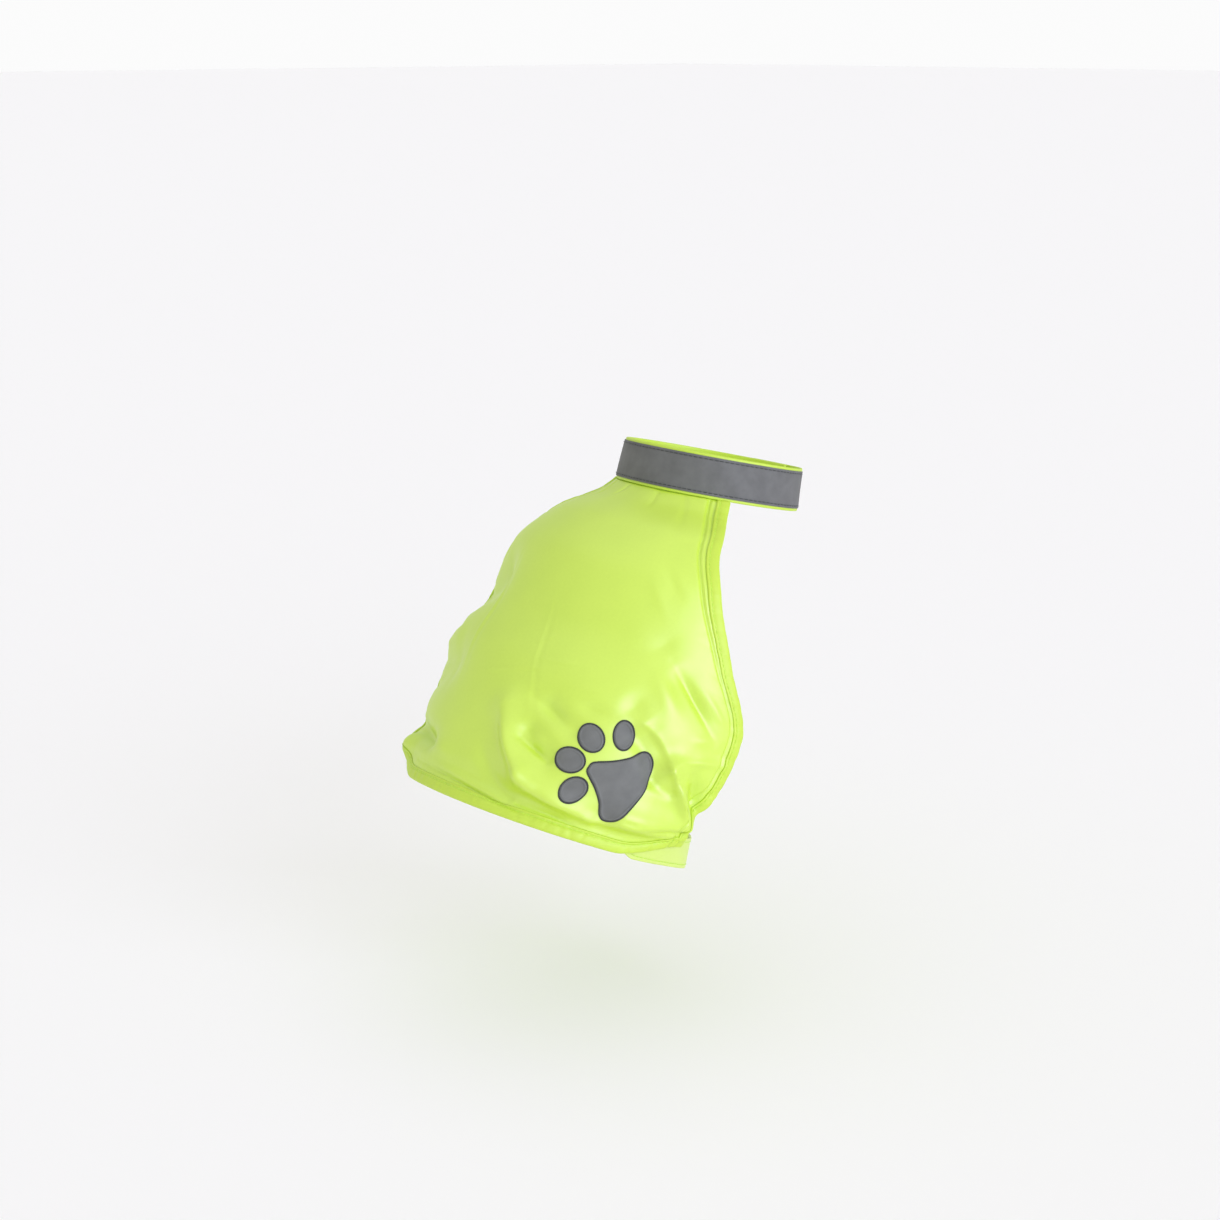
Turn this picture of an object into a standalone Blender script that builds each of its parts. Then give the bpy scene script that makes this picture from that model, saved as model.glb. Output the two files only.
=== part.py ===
"""Reflective dog vest, in the hollow form that it has when it is worn.

Metres, +Z up. The collar opens upwards and the chest side faces -Y, so the vest's right side is -X.
The origin is the centre of the lower rim of the collar, which goes round the neck.

Places on the cloth are given as "at", from 0 at the collar to 1 at the hem, and as an angle in degrees
round the vest, 0 at the middle of the back and positive towards the right side. The vest has slipped a
little to the right, so its own centre line drifts that way from the collar to the hem.
"""

import math
from collections import namedtuple

import bmesh
import bpy
import numpy as np
from mathutils import Vector

MM = 0.001

# Cloth and trim, in millimetres
SEAM_GAP = 0.3
LAY_GAP = 0.55
PANEL_WALL = 1.2
BINDING_WALL = 1.0
BINDING_WIDTH = 7.0
STRAP_WALL = 1.6
STRAP_LOW_AT = 1.012
STRAP_WIDTH_AT = 0.11
FASTENER_WALL = 1.0
COLLAR_WALL = 2.0
COLLAR_HEIGHT = 25.0
COLLAR_TAPER = 1.5
TAPE_WALL = 1.0
TAPE_MARGIN = 1.5
APPLIQUE_GAP = 1.25
APPLIQUE_WALL = 1.0

# Rings of the body from the collar to the hem: the ring's centre, its tilt about X, its half axes, and
# where the panel lies on it. All but "at" and the angles are millimetres.
Ring = namedtuple("Ring", "at y z tilt half_width half_depth centre_deg half_span_deg")
RINGS = (
    Ring(0.00, 1.0, -4.5, 14.0, 56.0, 54.0, 0.0, 57.0),
    Ring(0.05, 7.0, -12.5, 17.0, 62.0, 57.5, -1.0, 58.0),
    Ring(0.14, 22.0, -27.5, 20.0, 82.5, 71.0, -1.0, 57.5),
    Ring(0.28, 43.0, -51.5, 23.0, 96.5, 80.0, 0.0, 63.0),
    Ring(0.44, 64.0, -81.0, 25.0, 101.0, 80.0, 5.0, 72.0),
    Ring(0.62, 86.0, -113.0, 26.0, 106.0, 86.0, 14.0, 81.0),
    Ring(0.80, 107.0, -145.0, 25.0, 102.0, 85.0, 18.0, 78.0),
    Ring(0.87, 116.0, -157.0, 24.5, 99.0, 83.5, 18.0, 76.0),
    Ring(0.92, 123.5, -165.5, 24.5, 96.0, 79.5, 20.0, 77.0),
    Ring(1.00, 133.0, -175.0, 24.5, 92.5, 77.5, 21.0, 77.0),
)
LENGTH_MM = 217.0
MM_PER_DEG = 1.66

# Folds run from one place on the body to another. Height is out of the cloth, or into it below zero.
Fold = namedtuple("Fold", "name at0 deg0 at1 deg1 width height")
FOLDS = (
    Fold("shoulder_trough", 0.44, 50.0, 0.66, 86.0, 9.0, -3.0),
    Fold("flank_trough", 0.62, 50.0, 0.75, 74.0, 6.5, -4.0),
    Fold("corner_crest", 0.73, 71.0, 0.88, 92.0, 7.0, 6.0),
    Fold("corner_trough", 0.78, 84.0, 0.84, 96.0, 7.0, -3.0),
    Fold("toe_dimple", 0.76, 21.0, 0.80, 31.0, 5.0, -3.0),
    Fold("upper_dimple", 0.68, 24.0, 0.72, 34.0, 6.0, -2.0),
    Fold("pouch_crest", 0.72, 10.0, 0.86, 24.0, 9.0, 3.5),
    Fold("pouch_rim", 0.87, 26.0, 0.92, 46.0, 8.0, 4.0),
    Fold("pouch_belly", 0.90, 64.0, 0.88, 90.0, 9.0, 6.5),
    Fold("pouch_body", 0.80, 40.0, 0.84, 62.0, 24.0, 4.0),
    Fold("left_hollow", 0.39, -34.0, 0.46, -62.0, 15.0, -9.0),
    Fold("left_bulge", 0.58, -38.0, 0.63, -64.0, 9.0, 1.5),
    Fold("left_flat", 0.66, -30.0, 0.72, -60.0, 16.0, -6.0),
    Fold("left_pinch", 0.885, -24.0, 0.840, -60.0, 9.0, -11.0),
)
# The hem holds the folds down, the hollow ones before the raised ones, and the bound edges hold them too.
RAISED_HELD = (0.87, 0.945)
HOLLOW_HELD = (0.85, 0.915)
EDGE_HELD = (0.62, 1.0)
EDGE_HOLD = 0.75
# Only this one runs on into the hem and draws the strap out a little: the left corner stands off the body.
LEFT_FLARE = Fold("left_flare", 0.902, -46.0, 0.925, -64.0, 9.0, 6.5)
FLARE_FOLLOWED = 0.25

# The hem rises towards the side corners, and lets the belly straps out.
HEM_RISE = 0.075
HEM_RISE_FROM = 0.62

PANEL_ROWS = 38
ROW_CROWDING = 0.3
PANEL_COLUMNS = 44

# Belly straps, from under the panel's corners to their overlap under the belly
STRAP_TUCK_DEG = 24.0
BELLY_OVERLAP_DEG = 14.0
BELLY_RAMP_DEG = 26.0
LEAN_FROM_DEG = (100.0, 126.0)
LEAN_TO_DEG = (132.0, 160.0)
LEAN_LOW = 6.0
LEAN_HIGH = -5.0
COLLAR_OVERLAP_DEG = 16.0
COLLAR_RAMP_DEG = 30.0
TAPE_REACH_DEG = 128.0
FASTENER_MARGIN_DEG = 3.0
FASTENER_MARGIN_MM = 3.0

# Paw print on the right flank, in millimetres round its own centre, toes towards +Y of the print
PAW_AT = 0.805
PAW_DEG = 54.3
PAW_TURN_DEG = 15.0
PAW_MM_PER_DEG = 1.88
PadCorner = namedtuple("PadCorner", "name x y")
PAD = (
    PadCorner("tip", 0.0, 19.2),
    PadCorner("tip_side", 3.4, 17.9),
    PadCorner("waist", 8.5, 8.7),
    PadCorner("lobe_top", 14.0, 1.0),
    PadCorner("lobe_out", 19.3, -3.9),
    PadCorner("lobe_side", 20.9, -9.0),
    PadCorner("lobe_base", 17.8, -14.7),
    PadCorner("base_side", 11.0, -17.8),
    PadCorner("base", 0.0, -19.6),
)
PAD_TURN_DEG = 7.0
PAD_STEPS = 3
Toe = namedtuple("Toe", "name x y half_width half_length lean")
TOES = (
    Toe("outer_front", 21.4, 14.2, 6.4, 9.0, -40.0),
    Toe("inner_front", 10.3, 29.0, 6.9, 9.5, -14.0),
    Toe("inner_rear", -5.3, 30.4, 7.0, 9.6, 8.0),
    Toe("outer_rear", -16.3, 16.8, 7.3, 8.2, 30.0),
)

FLUORO = (0.50, 0.78, 0.05)
FLUORO_TRIM = (0.56, 0.84, 0.07)
REFLECTIVE_GREY = (0.17, 0.17, 0.17)
FASTENER_YELLOW = (0.42, 0.66, 0.06)


def clear_scene():
    for item in list(bpy.data.objects):
        bpy.data.objects.remove(item, do_unlink=True)


def new_collection(name):
    group = bpy.data.collections.new(name)
    bpy.context.scene.collection.children.link(group)
    return group


def principled(name, colour, roughness, metallic=0.0):
    material = bpy.data.materials.new(name)
    material.use_nodes = True
    shader = material.node_tree.nodes["Principled BSDF"]
    shader.inputs["Base Color"].default_value = (*colour, 1.0)
    shader.inputs["Roughness"].default_value = roughness
    shader.inputs["Metallic"].default_value = metallic
    return material


def smoothstep(low, high, value):
    part = np.clip((value - low) / (high - low), 0.0, 1.0)
    return part * part * (3.0 - 2.0 * part)


def column_of_rings(column, at):
    """One column of RINGS as a smooth curve over "at", which never overshoots its rows."""
    known = np.array([ring.at for ring in RINGS])
    value = np.array([getattr(ring, column) for ring in RINGS])
    slope = np.diff(value) / np.diff(known)
    before, after = slope[:-1], slope[1:]
    same_way = before * after > 0
    middle = np.where(same_way, 2.0 * before * after / np.where(same_way, before + after, 1.0), 0.0)
    tangent = np.concatenate([slope[:1], middle, slope[-1:]])
    row = np.clip(np.searchsorted(known, at) - 1, 0, len(known) - 2)
    span = known[row + 1] - known[row]
    t = (at - known[row]) / span
    start = (2 * t**3 - 3 * t**2 + 1) * value[row] + (t**3 - 2 * t**2 + t) * span * tangent[row]
    return start + (3 * t**2 - 2 * t**3) * value[row + 1] + (t**3 - t**2) * span * tangent[row + 1]


def one_fold(fold, at, deg):
    """How far one fold lifts the cloth there, in millimetres."""
    place = np.stack([at * LENGTH_MM, deg * MM_PER_DEG], axis=-1)
    start = np.array([fold.at0 * LENGTH_MM, fold.deg0 * MM_PER_DEG])
    along = np.array([fold.at1 * LENGTH_MM, fold.deg1 * MM_PER_DEG]) - start
    part = np.clip(((place - start) @ along) / (along @ along), 0.0, 1.0)
    away = np.linalg.norm(place - start - part[..., None] * along, axis=-1)
    return fold.height * np.exp(-((away / fold.width) ** 2))


def fold_height(at, deg):
    """How far all the folds lift the cloth there, in millimetres."""
    total = np.zeros(np.shape(at))
    for fold in FOLDS:
        held = smoothstep(*(RAISED_HELD if fold.height > 0 else HOLLOW_HELD), at)
        total += one_fold(fold, at, deg) * (1.0 - held)
    across = (deg - column_of_rings("centre_deg", at)) / column_of_rings("half_span_deg", at)
    held = EDGE_HOLD * smoothstep(*EDGE_HELD, np.abs(across))
    return total * (1.0 - held) + one_fold(LEFT_FLARE, at, deg)


def body_point(at, deg, out=0.0):
    """A point of the body's rings, "out" millimetres outside them. It returns metres."""
    at, deg = np.broadcast_arrays(np.asarray(at, float), np.asarray(deg, float))
    angle = np.radians(deg)
    tilt = np.radians(column_of_rings("tilt", at))
    across = (column_of_rings("half_width", at) + out) * np.sin(angle)
    back = (column_of_rings("half_depth", at) + out) * np.cos(angle)
    y = column_of_rings("y", at) + back * np.cos(tilt)
    z = column_of_rings("z", at) + back * np.sin(tilt)
    return np.stack([-across, y, z], axis=-1) * MM


def hem_at(across):
    """Where the panel ends, for -1 to 1 across the panel."""
    return 1.0 - HEM_RISE * smoothstep(HEM_RISE_FROM, 1.0, np.abs(across))


def open_grid(name, points):
    """A mesh of one face for each cell of a grid of points, facing out of the body."""
    rows, columns = points.shape[:2]
    faces = [
        (i * columns + j, (i + 1) * columns + j, (i + 1) * columns + j + 1, i * columns + j + 1)
        for i in range(rows - 1)
        for j in range(columns - 1)
    ]
    mesh = bpy.data.meshes.new(name)
    mesh.from_pydata([Vector(point) for point in points.reshape(-1, 3)], [], faces)
    mesh.update()
    return mesh


def normals_of(points):
    """Unit normals of a grid of points, rows running down the body and columns to its right side.

    They are the vertex normals of the grid as a mesh, which its wall is also made along.
    """
    mesh = open_grid("normals", points)
    normals = np.array([vertex.normal for vertex in mesh.vertices]).reshape(points.shape)
    bpy.data.meshes.remove(mesh)
    return normals


class PanelGrid:
    """The outer face of the back panel, as the grid of points that every sewn-on piece is made from."""

    def __init__(self):
        binding_part = BINDING_WIDTH / LENGTH_MM
        even = np.linspace(0.0, 1.0, PANEL_ROWS)
        crowded = even + ROW_CROWDING * np.sin(math.pi * even) / math.pi
        self.rows = np.append(crowded * (1.0 - binding_part), 1.0)
        self.columns = np.linspace(-1.0, 1.0, PANEL_COLUMNS - 1)
        across = np.broadcast_to(self.across_at(self.rows), (len(self.rows), PANEL_COLUMNS + 1))
        self.at = self.rows[:, None] * hem_at(across)
        self.deg = self.angle(self.at, across)
        flat = body_point(self.at, self.deg)
        self.points = flat + normals_of(flat) * (fold_height(self.at, self.deg) * MM)[..., None]
        self.normals = normals_of(self.points)

    def across_at(self, rows):
        """Column places for each row: one binding's width in from both edges, and evenly between."""
        binding = BINDING_WIDTH / (column_of_rings("half_span_deg", rows) * MM_PER_DEG)
        inner = self.columns * (1.0 - binding[:, None])
        edge = np.ones((len(rows), 1))
        return np.hstack([-edge, inner, edge])

    @staticmethod
    def angle(at, across):
        return column_of_rings("centre_deg", at) + across * column_of_rings("half_span_deg", at)

    def on_face(self, at, deg, out):
        """A point "out" millimetres outside the panel, between the four grid points round it."""
        across = (deg - column_of_rings("centre_deg", at)) / column_of_rings("half_span_deg", at)
        row_place = np.interp(at / hem_at(across), self.rows, np.arange(len(self.rows)))
        columns = self.across_at(np.array([at]))[0]
        column_place = np.interp(across, columns, np.arange(len(columns)))
        return self.at_index(row_place, column_place, out)

    def at_index(self, row_place, column_place, out):
        row = min(int(row_place), len(self.points) - 2)
        column = min(int(column_place), len(self.points[0]) - 2)
        u, v = row_place - row, column_place - column
        weights = ((0, 0, (1 - u) * (1 - v)), (0, 1, (1 - u) * v), (1, 0, u * (1 - v)), (1, 1, u * v))
        point = sum(w * self.points[row + i, column + j] for i, j, w in weights)
        normal = sum(w * self.normals[row + i, column + j] for i, j, w in weights)
        return point + normal / np.linalg.norm(normal) * out * MM


def mesh_object(name, verts, faces, material, group):
    mesh = bpy.data.meshes.new(name)
    mesh.from_pydata([Vector(v) for v in verts], [], faces)
    work = bmesh.new()
    work.from_mesh(mesh)
    bmesh.ops.recalc_face_normals(work, faces=work.faces)
    work.to_mesh(mesh)
    work.free()
    mesh.materials.append(material)
    mesh.shade_smooth()
    mesh.set_sharp_from_angle(angle=math.radians(40))
    item = bpy.data.objects.new(name, mesh)
    group.objects.link(item)
    return item


def loft(name, sections, material, group, turned=()):
    """A closed solid through sections of equally many points, with a cap on both ends.

    The sides of the section that "turned" names have their quads split along the other diagonal.
    """
    size = len(sections[0])
    verts = [point for section in sections for point in section]
    faces = []
    for i in range(len(sections) - 1):
        for j in range(size):
            k = (j + 1) % size
            quad = (i * size + j, i * size + k, (i + 1) * size + k, (i + 1) * size + j)
            faces.append(quad[1:] + quad[:1] if j in turned else quad)
    first = list(range(size))
    last = [len(verts) - size + j for j in range(size)]
    return mesh_object(name, verts, cap(first) + faces + cap(last), material, group)


def cap(corners):
    """Quads across a section whose points run down one side and back up the other."""
    pairs = len(corners) // 2
    return [
        (corners[i], corners[i + 1], corners[-2 - i], corners[-1 - i])
        for i in range(pairs - 1)
    ]


def back_panel(grid, material, group):
    mesh = open_grid("back_panel", grid.points)
    mesh.materials.append(material)
    mesh.shade_smooth()
    item = bpy.data.objects.new("back_panel", mesh)
    group.objects.link(item)
    wall = item.modifiers.new("wall", "SOLIDIFY")
    wall.thickness = PANEL_WALL * MM
    wall.offset = -1.0
    return item


# The sides of a binding's section that run from its leg to its edge, and from its edge to its leg. Turned,
# their quads are split the way the panel's quads under them are.
FROM_LEG = (0, 4)
FROM_EDGE = (2, 6)


def binding_section(edge, edge_normal, leg, leg_normal):
    """A folded strip's section: over the outer face, round the cloth's edge, back on the inner face."""
    side = edge - leg
    side = side / np.linalg.norm(side)
    near, far = LAY_GAP, LAY_GAP + BINDING_WALL
    outer_skin = [
        leg + leg_normal * far * MM,
        edge + side * far * MM + edge_normal * far * MM,
        edge + side * far * MM - edge_normal * (PANEL_WALL + far) * MM,
        leg - leg_normal * (PANEL_WALL + far) * MM,
    ]
    inner_skin = [
        leg - leg_normal * (PANEL_WALL + near) * MM,
        edge + side * near * MM - edge_normal * (PANEL_WALL + near) * MM,
        edge + side * near * MM + edge_normal * near * MM,
        leg + leg_normal * near * MM,
    ]
    return outer_skin + inner_skin


def armhole_binding(name, grid, edge, leg, turned, material, group):
    points, normals = grid.points, grid.normals
    sections = [
        binding_section(points[i, edge], normals[i, edge], points[i, leg], normals[i, leg])
        for i in range(len(points))
    ]
    return loft(name, sections, material, group, turned)


def hem_binding(grid, material, group):
    """The hem's strip, from one armhole binding to the other."""
    last = len(grid.points) - 1
    columns = len(grid.points[0])
    step = 2.0 * SEAM_GAP / BINDING_WIDTH
    places = [1.0 + step, *range(2, columns - 2), columns - 2.0 - step]
    sections = []
    for place in places:
        edge, leg = grid.at_index(last, place, 0.0), grid.at_index(last - 1, place, 0.0)
        edge_normal = (grid.at_index(last, place, 1.0) - edge) / MM
        leg_normal = (grid.at_index(last - 1, place, 1.0) - leg) / MM
        sections.append(binding_section(edge, edge_normal, leg, leg_normal))
    return loft("hem_binding", sections, material, group, FROM_EDGE)


def collar_point(deg, out, up):
    """A point of the collar, "up" millimetres above its lower rim."""
    tilt = math.radians(RINGS[0].tilt)
    taper = -COLLAR_TAPER * up / COLLAR_HEIGHT
    rim = body_point(0.0, deg, out + taper)
    return rim + np.array([0.0, -math.sin(tilt), math.cos(tilt)]) * up * MM


def belt_lean(deg):
    """How much of the belly strap's lean there is, where it turns under the vest's right side."""
    return smoothstep(*LEAN_FROM_DEG, deg) * (1.0 - smoothstep(*LEAN_TO_DEG, deg))


def belt_point(deg, out, up):
    """A point of the belly strap, "up" from 0 at its lower edge to 1 at its upper edge."""
    low_at, high_at = STRAP_LOW_AT, STRAP_LOW_AT - STRAP_WIDTH_AT
    flare = FLARE_FOLLOWED * one_fold(LEFT_FLARE, high_at, deg)
    low_out = out + LEAN_LOW * belt_lean(deg)
    high_out = out + flare + LEAN_HIGH * belt_lean(deg)
    low, high = body_point(low_at, deg, low_out), body_point(high_at, deg, high_out)
    return low + (high - low) * up


def band(name, place, degrees, inside, wall, low, high, material, group):
    """A flat strap round the body: its section is a rectangle from "low" to "high", at "inside" out."""
    sections = []
    for deg in degrees:
        near = inside(deg)
        corners = ((near, low), (near + wall, low), (near + wall, high), (near, high))
        sections.append([place(deg, out, up) for out, up in corners])
    return loft(name, sections, material, group)


def layers_apart(wall):
    """How far the outer end of a fastened strap lies over the inner end."""
    return wall + 2.0 * FASTENER_WALL + 3.0 * LAY_GAP


def climb(wall, ramp_deg, overlap_deg):
    """The extra radius of a strap whose far end climbs over its near end."""
    first = 180.0 - overlap_deg - ramp_deg
    last = 180.0 - overlap_deg - 2.0
    return lambda deg: layers_apart(wall) * float(smoothstep(first, last, deg))


def collar(band_material, tape_material, fastener, group):
    inside = -COLLAR_WALL
    rise = climb(COLLAR_WALL, COLLAR_RAMP_DEG, COLLAR_OVERLAP_DEG)
    reach = 180.0 + COLLAR_OVERLAP_DEG
    low = 2.0 * SEAM_GAP
    high = low + COLLAR_HEIGHT
    round_neck = np.linspace(-reach, reach, 67)
    band("neck_band", collar_point, round_neck, lambda deg: inside + rise(deg), COLLAR_WALL, low, high,
         band_material, group)
    visible = np.linspace(-TAPE_REACH_DEG, TAPE_REACH_DEG, 45)
    band("neck_reflective_tape", collar_point, visible, lambda deg: LAY_GAP, TAPE_WALL,
         low + TAPE_MARGIN, high - TAPE_MARGIN, tape_material, group)
    span = COLLAR_OVERLAP_DEG - FASTENER_MARGIN_DEG
    throat = np.linspace(180.0 - span, 180.0 + span, 7)
    for name, layer in (("neck_loop_patch", 0), ("neck_hook_patch", 1)):
        out = LAY_GAP + layer * (FASTENER_WALL + LAY_GAP)
        band(name, collar_point, throat, lambda deg, out=out: out, FASTENER_WALL,
             low + FASTENER_MARGIN_MM, high - FASTENER_MARGIN_MM, fastener, group)


def belly_straps(grid, material, fastener, group):
    inside = -(PANEL_WALL + BINDING_WALL + 3.0 * LAY_GAP + STRAP_WALL)
    rise = climb(STRAP_WALL, BELLY_RAMP_DEG, BELLY_OVERLAP_DEG)
    reach = 180.0 + BELLY_OVERLAP_DEG
    right_start = grid.deg[-1, -1] - STRAP_TUCK_DEG
    left_start = grid.deg[-1, 0] + STRAP_TUCK_DEG
    right_side = np.linspace(right_start, reach, 34)
    left_side = np.linspace(-reach, left_start, 46)
    band("belly_strap_right", belt_point, right_side, lambda deg: inside + rise(deg), STRAP_WALL, 0.0, 1.0,
         material, group)
    band("belly_strap_left", belt_point, left_side, lambda deg: inside, STRAP_WALL, 0.0, 1.0, material, group)
    span = BELLY_OVERLAP_DEG - FASTENER_MARGIN_DEG
    belly = np.linspace(180.0 - span, 180.0 + span, 8)
    for name, layer in (("belly_loop_patch", 0), ("belly_hook_patch", 1)):
        out = inside + STRAP_WALL + LAY_GAP + layer * (FASTENER_WALL + LAY_GAP)
        band(name, belt_point, belly, lambda deg, out=out: out, FASTENER_WALL, 0.12, 0.88, fastener, group)


def pad_outline():
    """The paw's main pad: PAD and its mirror image, turned, as one smooth closed curve."""
    corners = [(c.x, c.y) for c in PAD] + [(-c.x, c.y) for c in reversed(PAD[1:-1])]
    turn = math.radians(PAD_TURN_DEG)
    corners = [(x * math.cos(turn) - y * math.sin(turn), x * math.sin(turn) + y * math.cos(turn))
               for x, y in corners]
    outline = []
    for i in range(len(corners)):
        p0, p1, p2, p3 = (np.array(corners[(i + k) % len(corners)]) for k in (-1, 0, 1, 2))
        for t in np.arange(PAD_STEPS) / PAD_STEPS:
            bend = (2 * p0 - 5 * p1 + 4 * p2 - p3) * t**2 + (3 * p1 - p0 - 3 * p2 + p3) * t**3
            outline.append(p1 + 0.5 * ((p2 - p0) * t + bend))
    return outline


def toe_outline(toe):
    lean = math.radians(toe.lean)
    outline = []
    for angle in np.linspace(0.0, 2.0 * math.pi, 16, endpoint=False):
        x, y = toe.half_width * math.sin(angle), toe.half_length * math.cos(angle)
        outline.append((toe.x + x * math.cos(lean) - y * math.sin(lean),
                        toe.y + x * math.sin(lean) + y * math.cos(lean)))
    return outline


def print_place(x, y):
    """A point of the print, in its own millimetres, as a place on the body."""
    turn = math.radians(PAW_TURN_DEG)
    to_spine = y * math.cos(turn) - x * math.sin(turn)
    to_collar = x * math.cos(turn) + y * math.sin(turn)
    return PAW_AT - to_collar / LENGTH_MM, PAW_DEG - to_spine / PAW_MM_PER_DEG


def applique(name, outline, shrink, grid, material, group):
    """A patch that follows the panel: rings of points from its outline in to its middle."""
    middle = np.mean(outline, axis=0)
    flat = [middle + (np.array(p) - middle) * part for part in shrink for p in outline]
    flat.append(middle)
    places = [print_place(*p) for p in flat]
    size, rings = len(outline), len(shrink)
    verts = [grid.on_face(*p, APPLIQUE_GAP + APPLIQUE_WALL) for p in places]
    verts += [grid.on_face(*p, APPLIQUE_GAP) for p in places]
    under = len(places)
    faces = []
    for j in range(size):
        k = (j + 1) % size
        for i in range(rings - 1):
            quad = (i * size + j, i * size + k, (i + 1) * size + k, (i + 1) * size + j)
            faces += [quad, tuple(under + v for v in reversed(quad))]
        fan = ((rings - 1) * size + j, (rings - 1) * size + k, rings * size)
        faces += [fan, tuple(under + v for v in reversed(fan))]
        faces.append((k, j, under + j, under + k))
    return mesh_object(name, verts, faces, material, group)


def paw_print(grid, material, group):
    applique("paw_right_pad", pad_outline(), (1.0, 0.8, 0.6, 0.4, 0.2), grid, material, group)
    for toe in TOES:
        applique("paw_right_toe_" + toe.name, toe_outline(toe), (1.0, 0.55), grid, material, group)


def build():
    clear_scene()
    group = new_collection("reflective_dog_vest")
    cloth = principled("fluorescent_cloth", FLUORO, 0.62)
    trim = principled("fluorescent_binding", FLUORO_TRIM, 0.6)
    tape = principled("reflective_tape", REFLECTIVE_GREY, 0.42, 0.25)
    patch = principled("reflective_applique", REFLECTIVE_GREY, 0.45, 0.25)
    fastener = principled("hook_and_loop", FASTENER_YELLOW, 0.9)
    grid = PanelGrid()
    back_panel(grid, cloth, group)
    armhole_binding("armhole_binding_left", grid, 0, 1, FROM_LEG, trim, group)
    armhole_binding("armhole_binding_right", grid, -1, -2, FROM_EDGE, trim, group)
    hem_binding(grid, trim, group)
    collar(trim, tape, fastener, group)
    belly_straps(grid, cloth, fastener, group)
    paw_print(grid, patch, group)


build()
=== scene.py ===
"""The looks of the reflective dog vest, made on the frame of its solids.

Metres, +Z up, as in the solids. Places on the cloth are given as there: "at" runs from 0 at the collar to 1
at the hem, and an angle in degrees runs round the vest, 0 at the middle of the back and positive towards the
vest's right side (-X). A size whose name or table says so is in millimetres.
"""

import math
from collections import namedtuple

import bmesh
import bpy
import numpy as np
from mathutils import Matrix, Vector, noise


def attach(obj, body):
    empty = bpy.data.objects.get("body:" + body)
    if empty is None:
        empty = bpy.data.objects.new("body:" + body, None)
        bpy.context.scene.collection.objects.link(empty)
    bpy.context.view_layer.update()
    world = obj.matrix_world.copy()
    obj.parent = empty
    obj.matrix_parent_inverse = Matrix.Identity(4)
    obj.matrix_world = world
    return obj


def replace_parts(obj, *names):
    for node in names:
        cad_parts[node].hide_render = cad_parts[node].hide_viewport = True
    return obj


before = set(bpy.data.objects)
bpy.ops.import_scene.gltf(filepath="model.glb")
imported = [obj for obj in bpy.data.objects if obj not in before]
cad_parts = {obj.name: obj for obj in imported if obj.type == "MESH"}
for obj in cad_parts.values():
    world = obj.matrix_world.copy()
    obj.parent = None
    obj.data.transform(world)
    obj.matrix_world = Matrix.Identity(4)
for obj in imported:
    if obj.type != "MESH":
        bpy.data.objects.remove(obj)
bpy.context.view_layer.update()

MM = 0.001

# ---- The solids' sizes, repeated from their source ----

SEAM_GAP = 0.3
LAY_GAP = 0.55
PANEL_WALL = 1.2
BINDING_WALL = 1.0
BINDING_WIDTH = 7.0
STRAP_WALL = 1.6
STRAP_LOW_AT = 1.012
STRAP_WIDTH_AT = 0.11
FASTENER_WALL = 1.0
COLLAR_WALL = 2.0
COLLAR_HEIGHT = 25.0
COLLAR_TAPER = 1.5
TAPE_MARGIN = 1.5

Ring = namedtuple("Ring", "at y z tilt half_width half_depth centre_deg half_span_deg")
RINGS = (
    Ring(0.00, 1.0, -4.5, 14.0, 56.0, 54.0, 0.0, 57.0),
    Ring(0.05, 7.0, -12.5, 17.0, 62.0, 57.5, -1.0, 58.0),
    Ring(0.14, 22.0, -27.5, 20.0, 82.5, 71.0, -1.0, 57.5),
    Ring(0.28, 43.0, -51.5, 23.0, 96.5, 80.0, 0.0, 63.0),
    Ring(0.44, 64.0, -81.0, 25.0, 101.0, 80.0, 5.0, 72.0),
    Ring(0.62, 86.0, -113.0, 26.0, 106.0, 86.0, 14.0, 81.0),
    Ring(0.8, 107.0, -145.0, 25.0, 102.0, 85.0, 18.0, 78.0),
    Ring(0.87, 116.0, -157.0, 24.5, 99.0, 83.5, 18.0, 76.0),
    Ring(0.92, 123.5, -165.5, 24.5, 96.0, 79.5, 20.0, 77.0),
    Ring(1.00, 133.0, -175.0, 24.5, 92.5, 77.5, 21.0, 77.0),
)
LENGTH_MM = 217.0
MM_PER_DEG = 1.66

Fold = namedtuple("Fold", "name at0 deg0 at1 deg1 width height")
FOLDS = (
    Fold("shoulder_trough", 0.44, 50, 0.66, 86, 9, -3),
    Fold("flank_trough", 0.62, 50, 0.75, 74, 6.5, -4),
    Fold("corner_crest", 0.73, 71, 0.88, 92, 7, 6),
    Fold("corner_trough", 0.78, 84, 0.84, 96, 7, -3),
    Fold("toe_dimple", 0.76, 21, 0.8, 31, 5, -3),
    Fold("upper_dimple", 0.68, 24, 0.72, 34, 6, -2),
    Fold("pouch_crest", 0.72, 10, 0.86, 24, 9, 3.5),
    Fold("pouch_rim", 0.87, 26, 0.92, 46, 8, 4),
    Fold("pouch_belly", 0.9, 64, 0.88, 90, 9, 6.5),
    Fold("pouch_body", 0.8, 40, 0.84, 62, 24, 4),
    Fold("left_hollow", 0.39, -34, 0.46, -62, 15, -9),
    Fold("left_bulge", 0.58, -38, 0.63, -64, 9, 1.5),
    Fold("left_flat", 0.66, -30, 0.72, -60, 16, -6),
    Fold("left_pinch", 0.885, -24, 0.84, -60, 9, -11),
)
RAISED_HELD = (0.87, 0.945)
HOLLOW_HELD = (0.85, 0.915)
EDGE_HELD = (0.62, 1.0)
EDGE_HOLD = 0.75
LEFT_FLARE = Fold("left_flare", 0.902, -46, 0.925, -64, 9, 6.5)
FLARE_FOLLOWED = 0.25
HEM_RISE = 0.075
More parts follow.
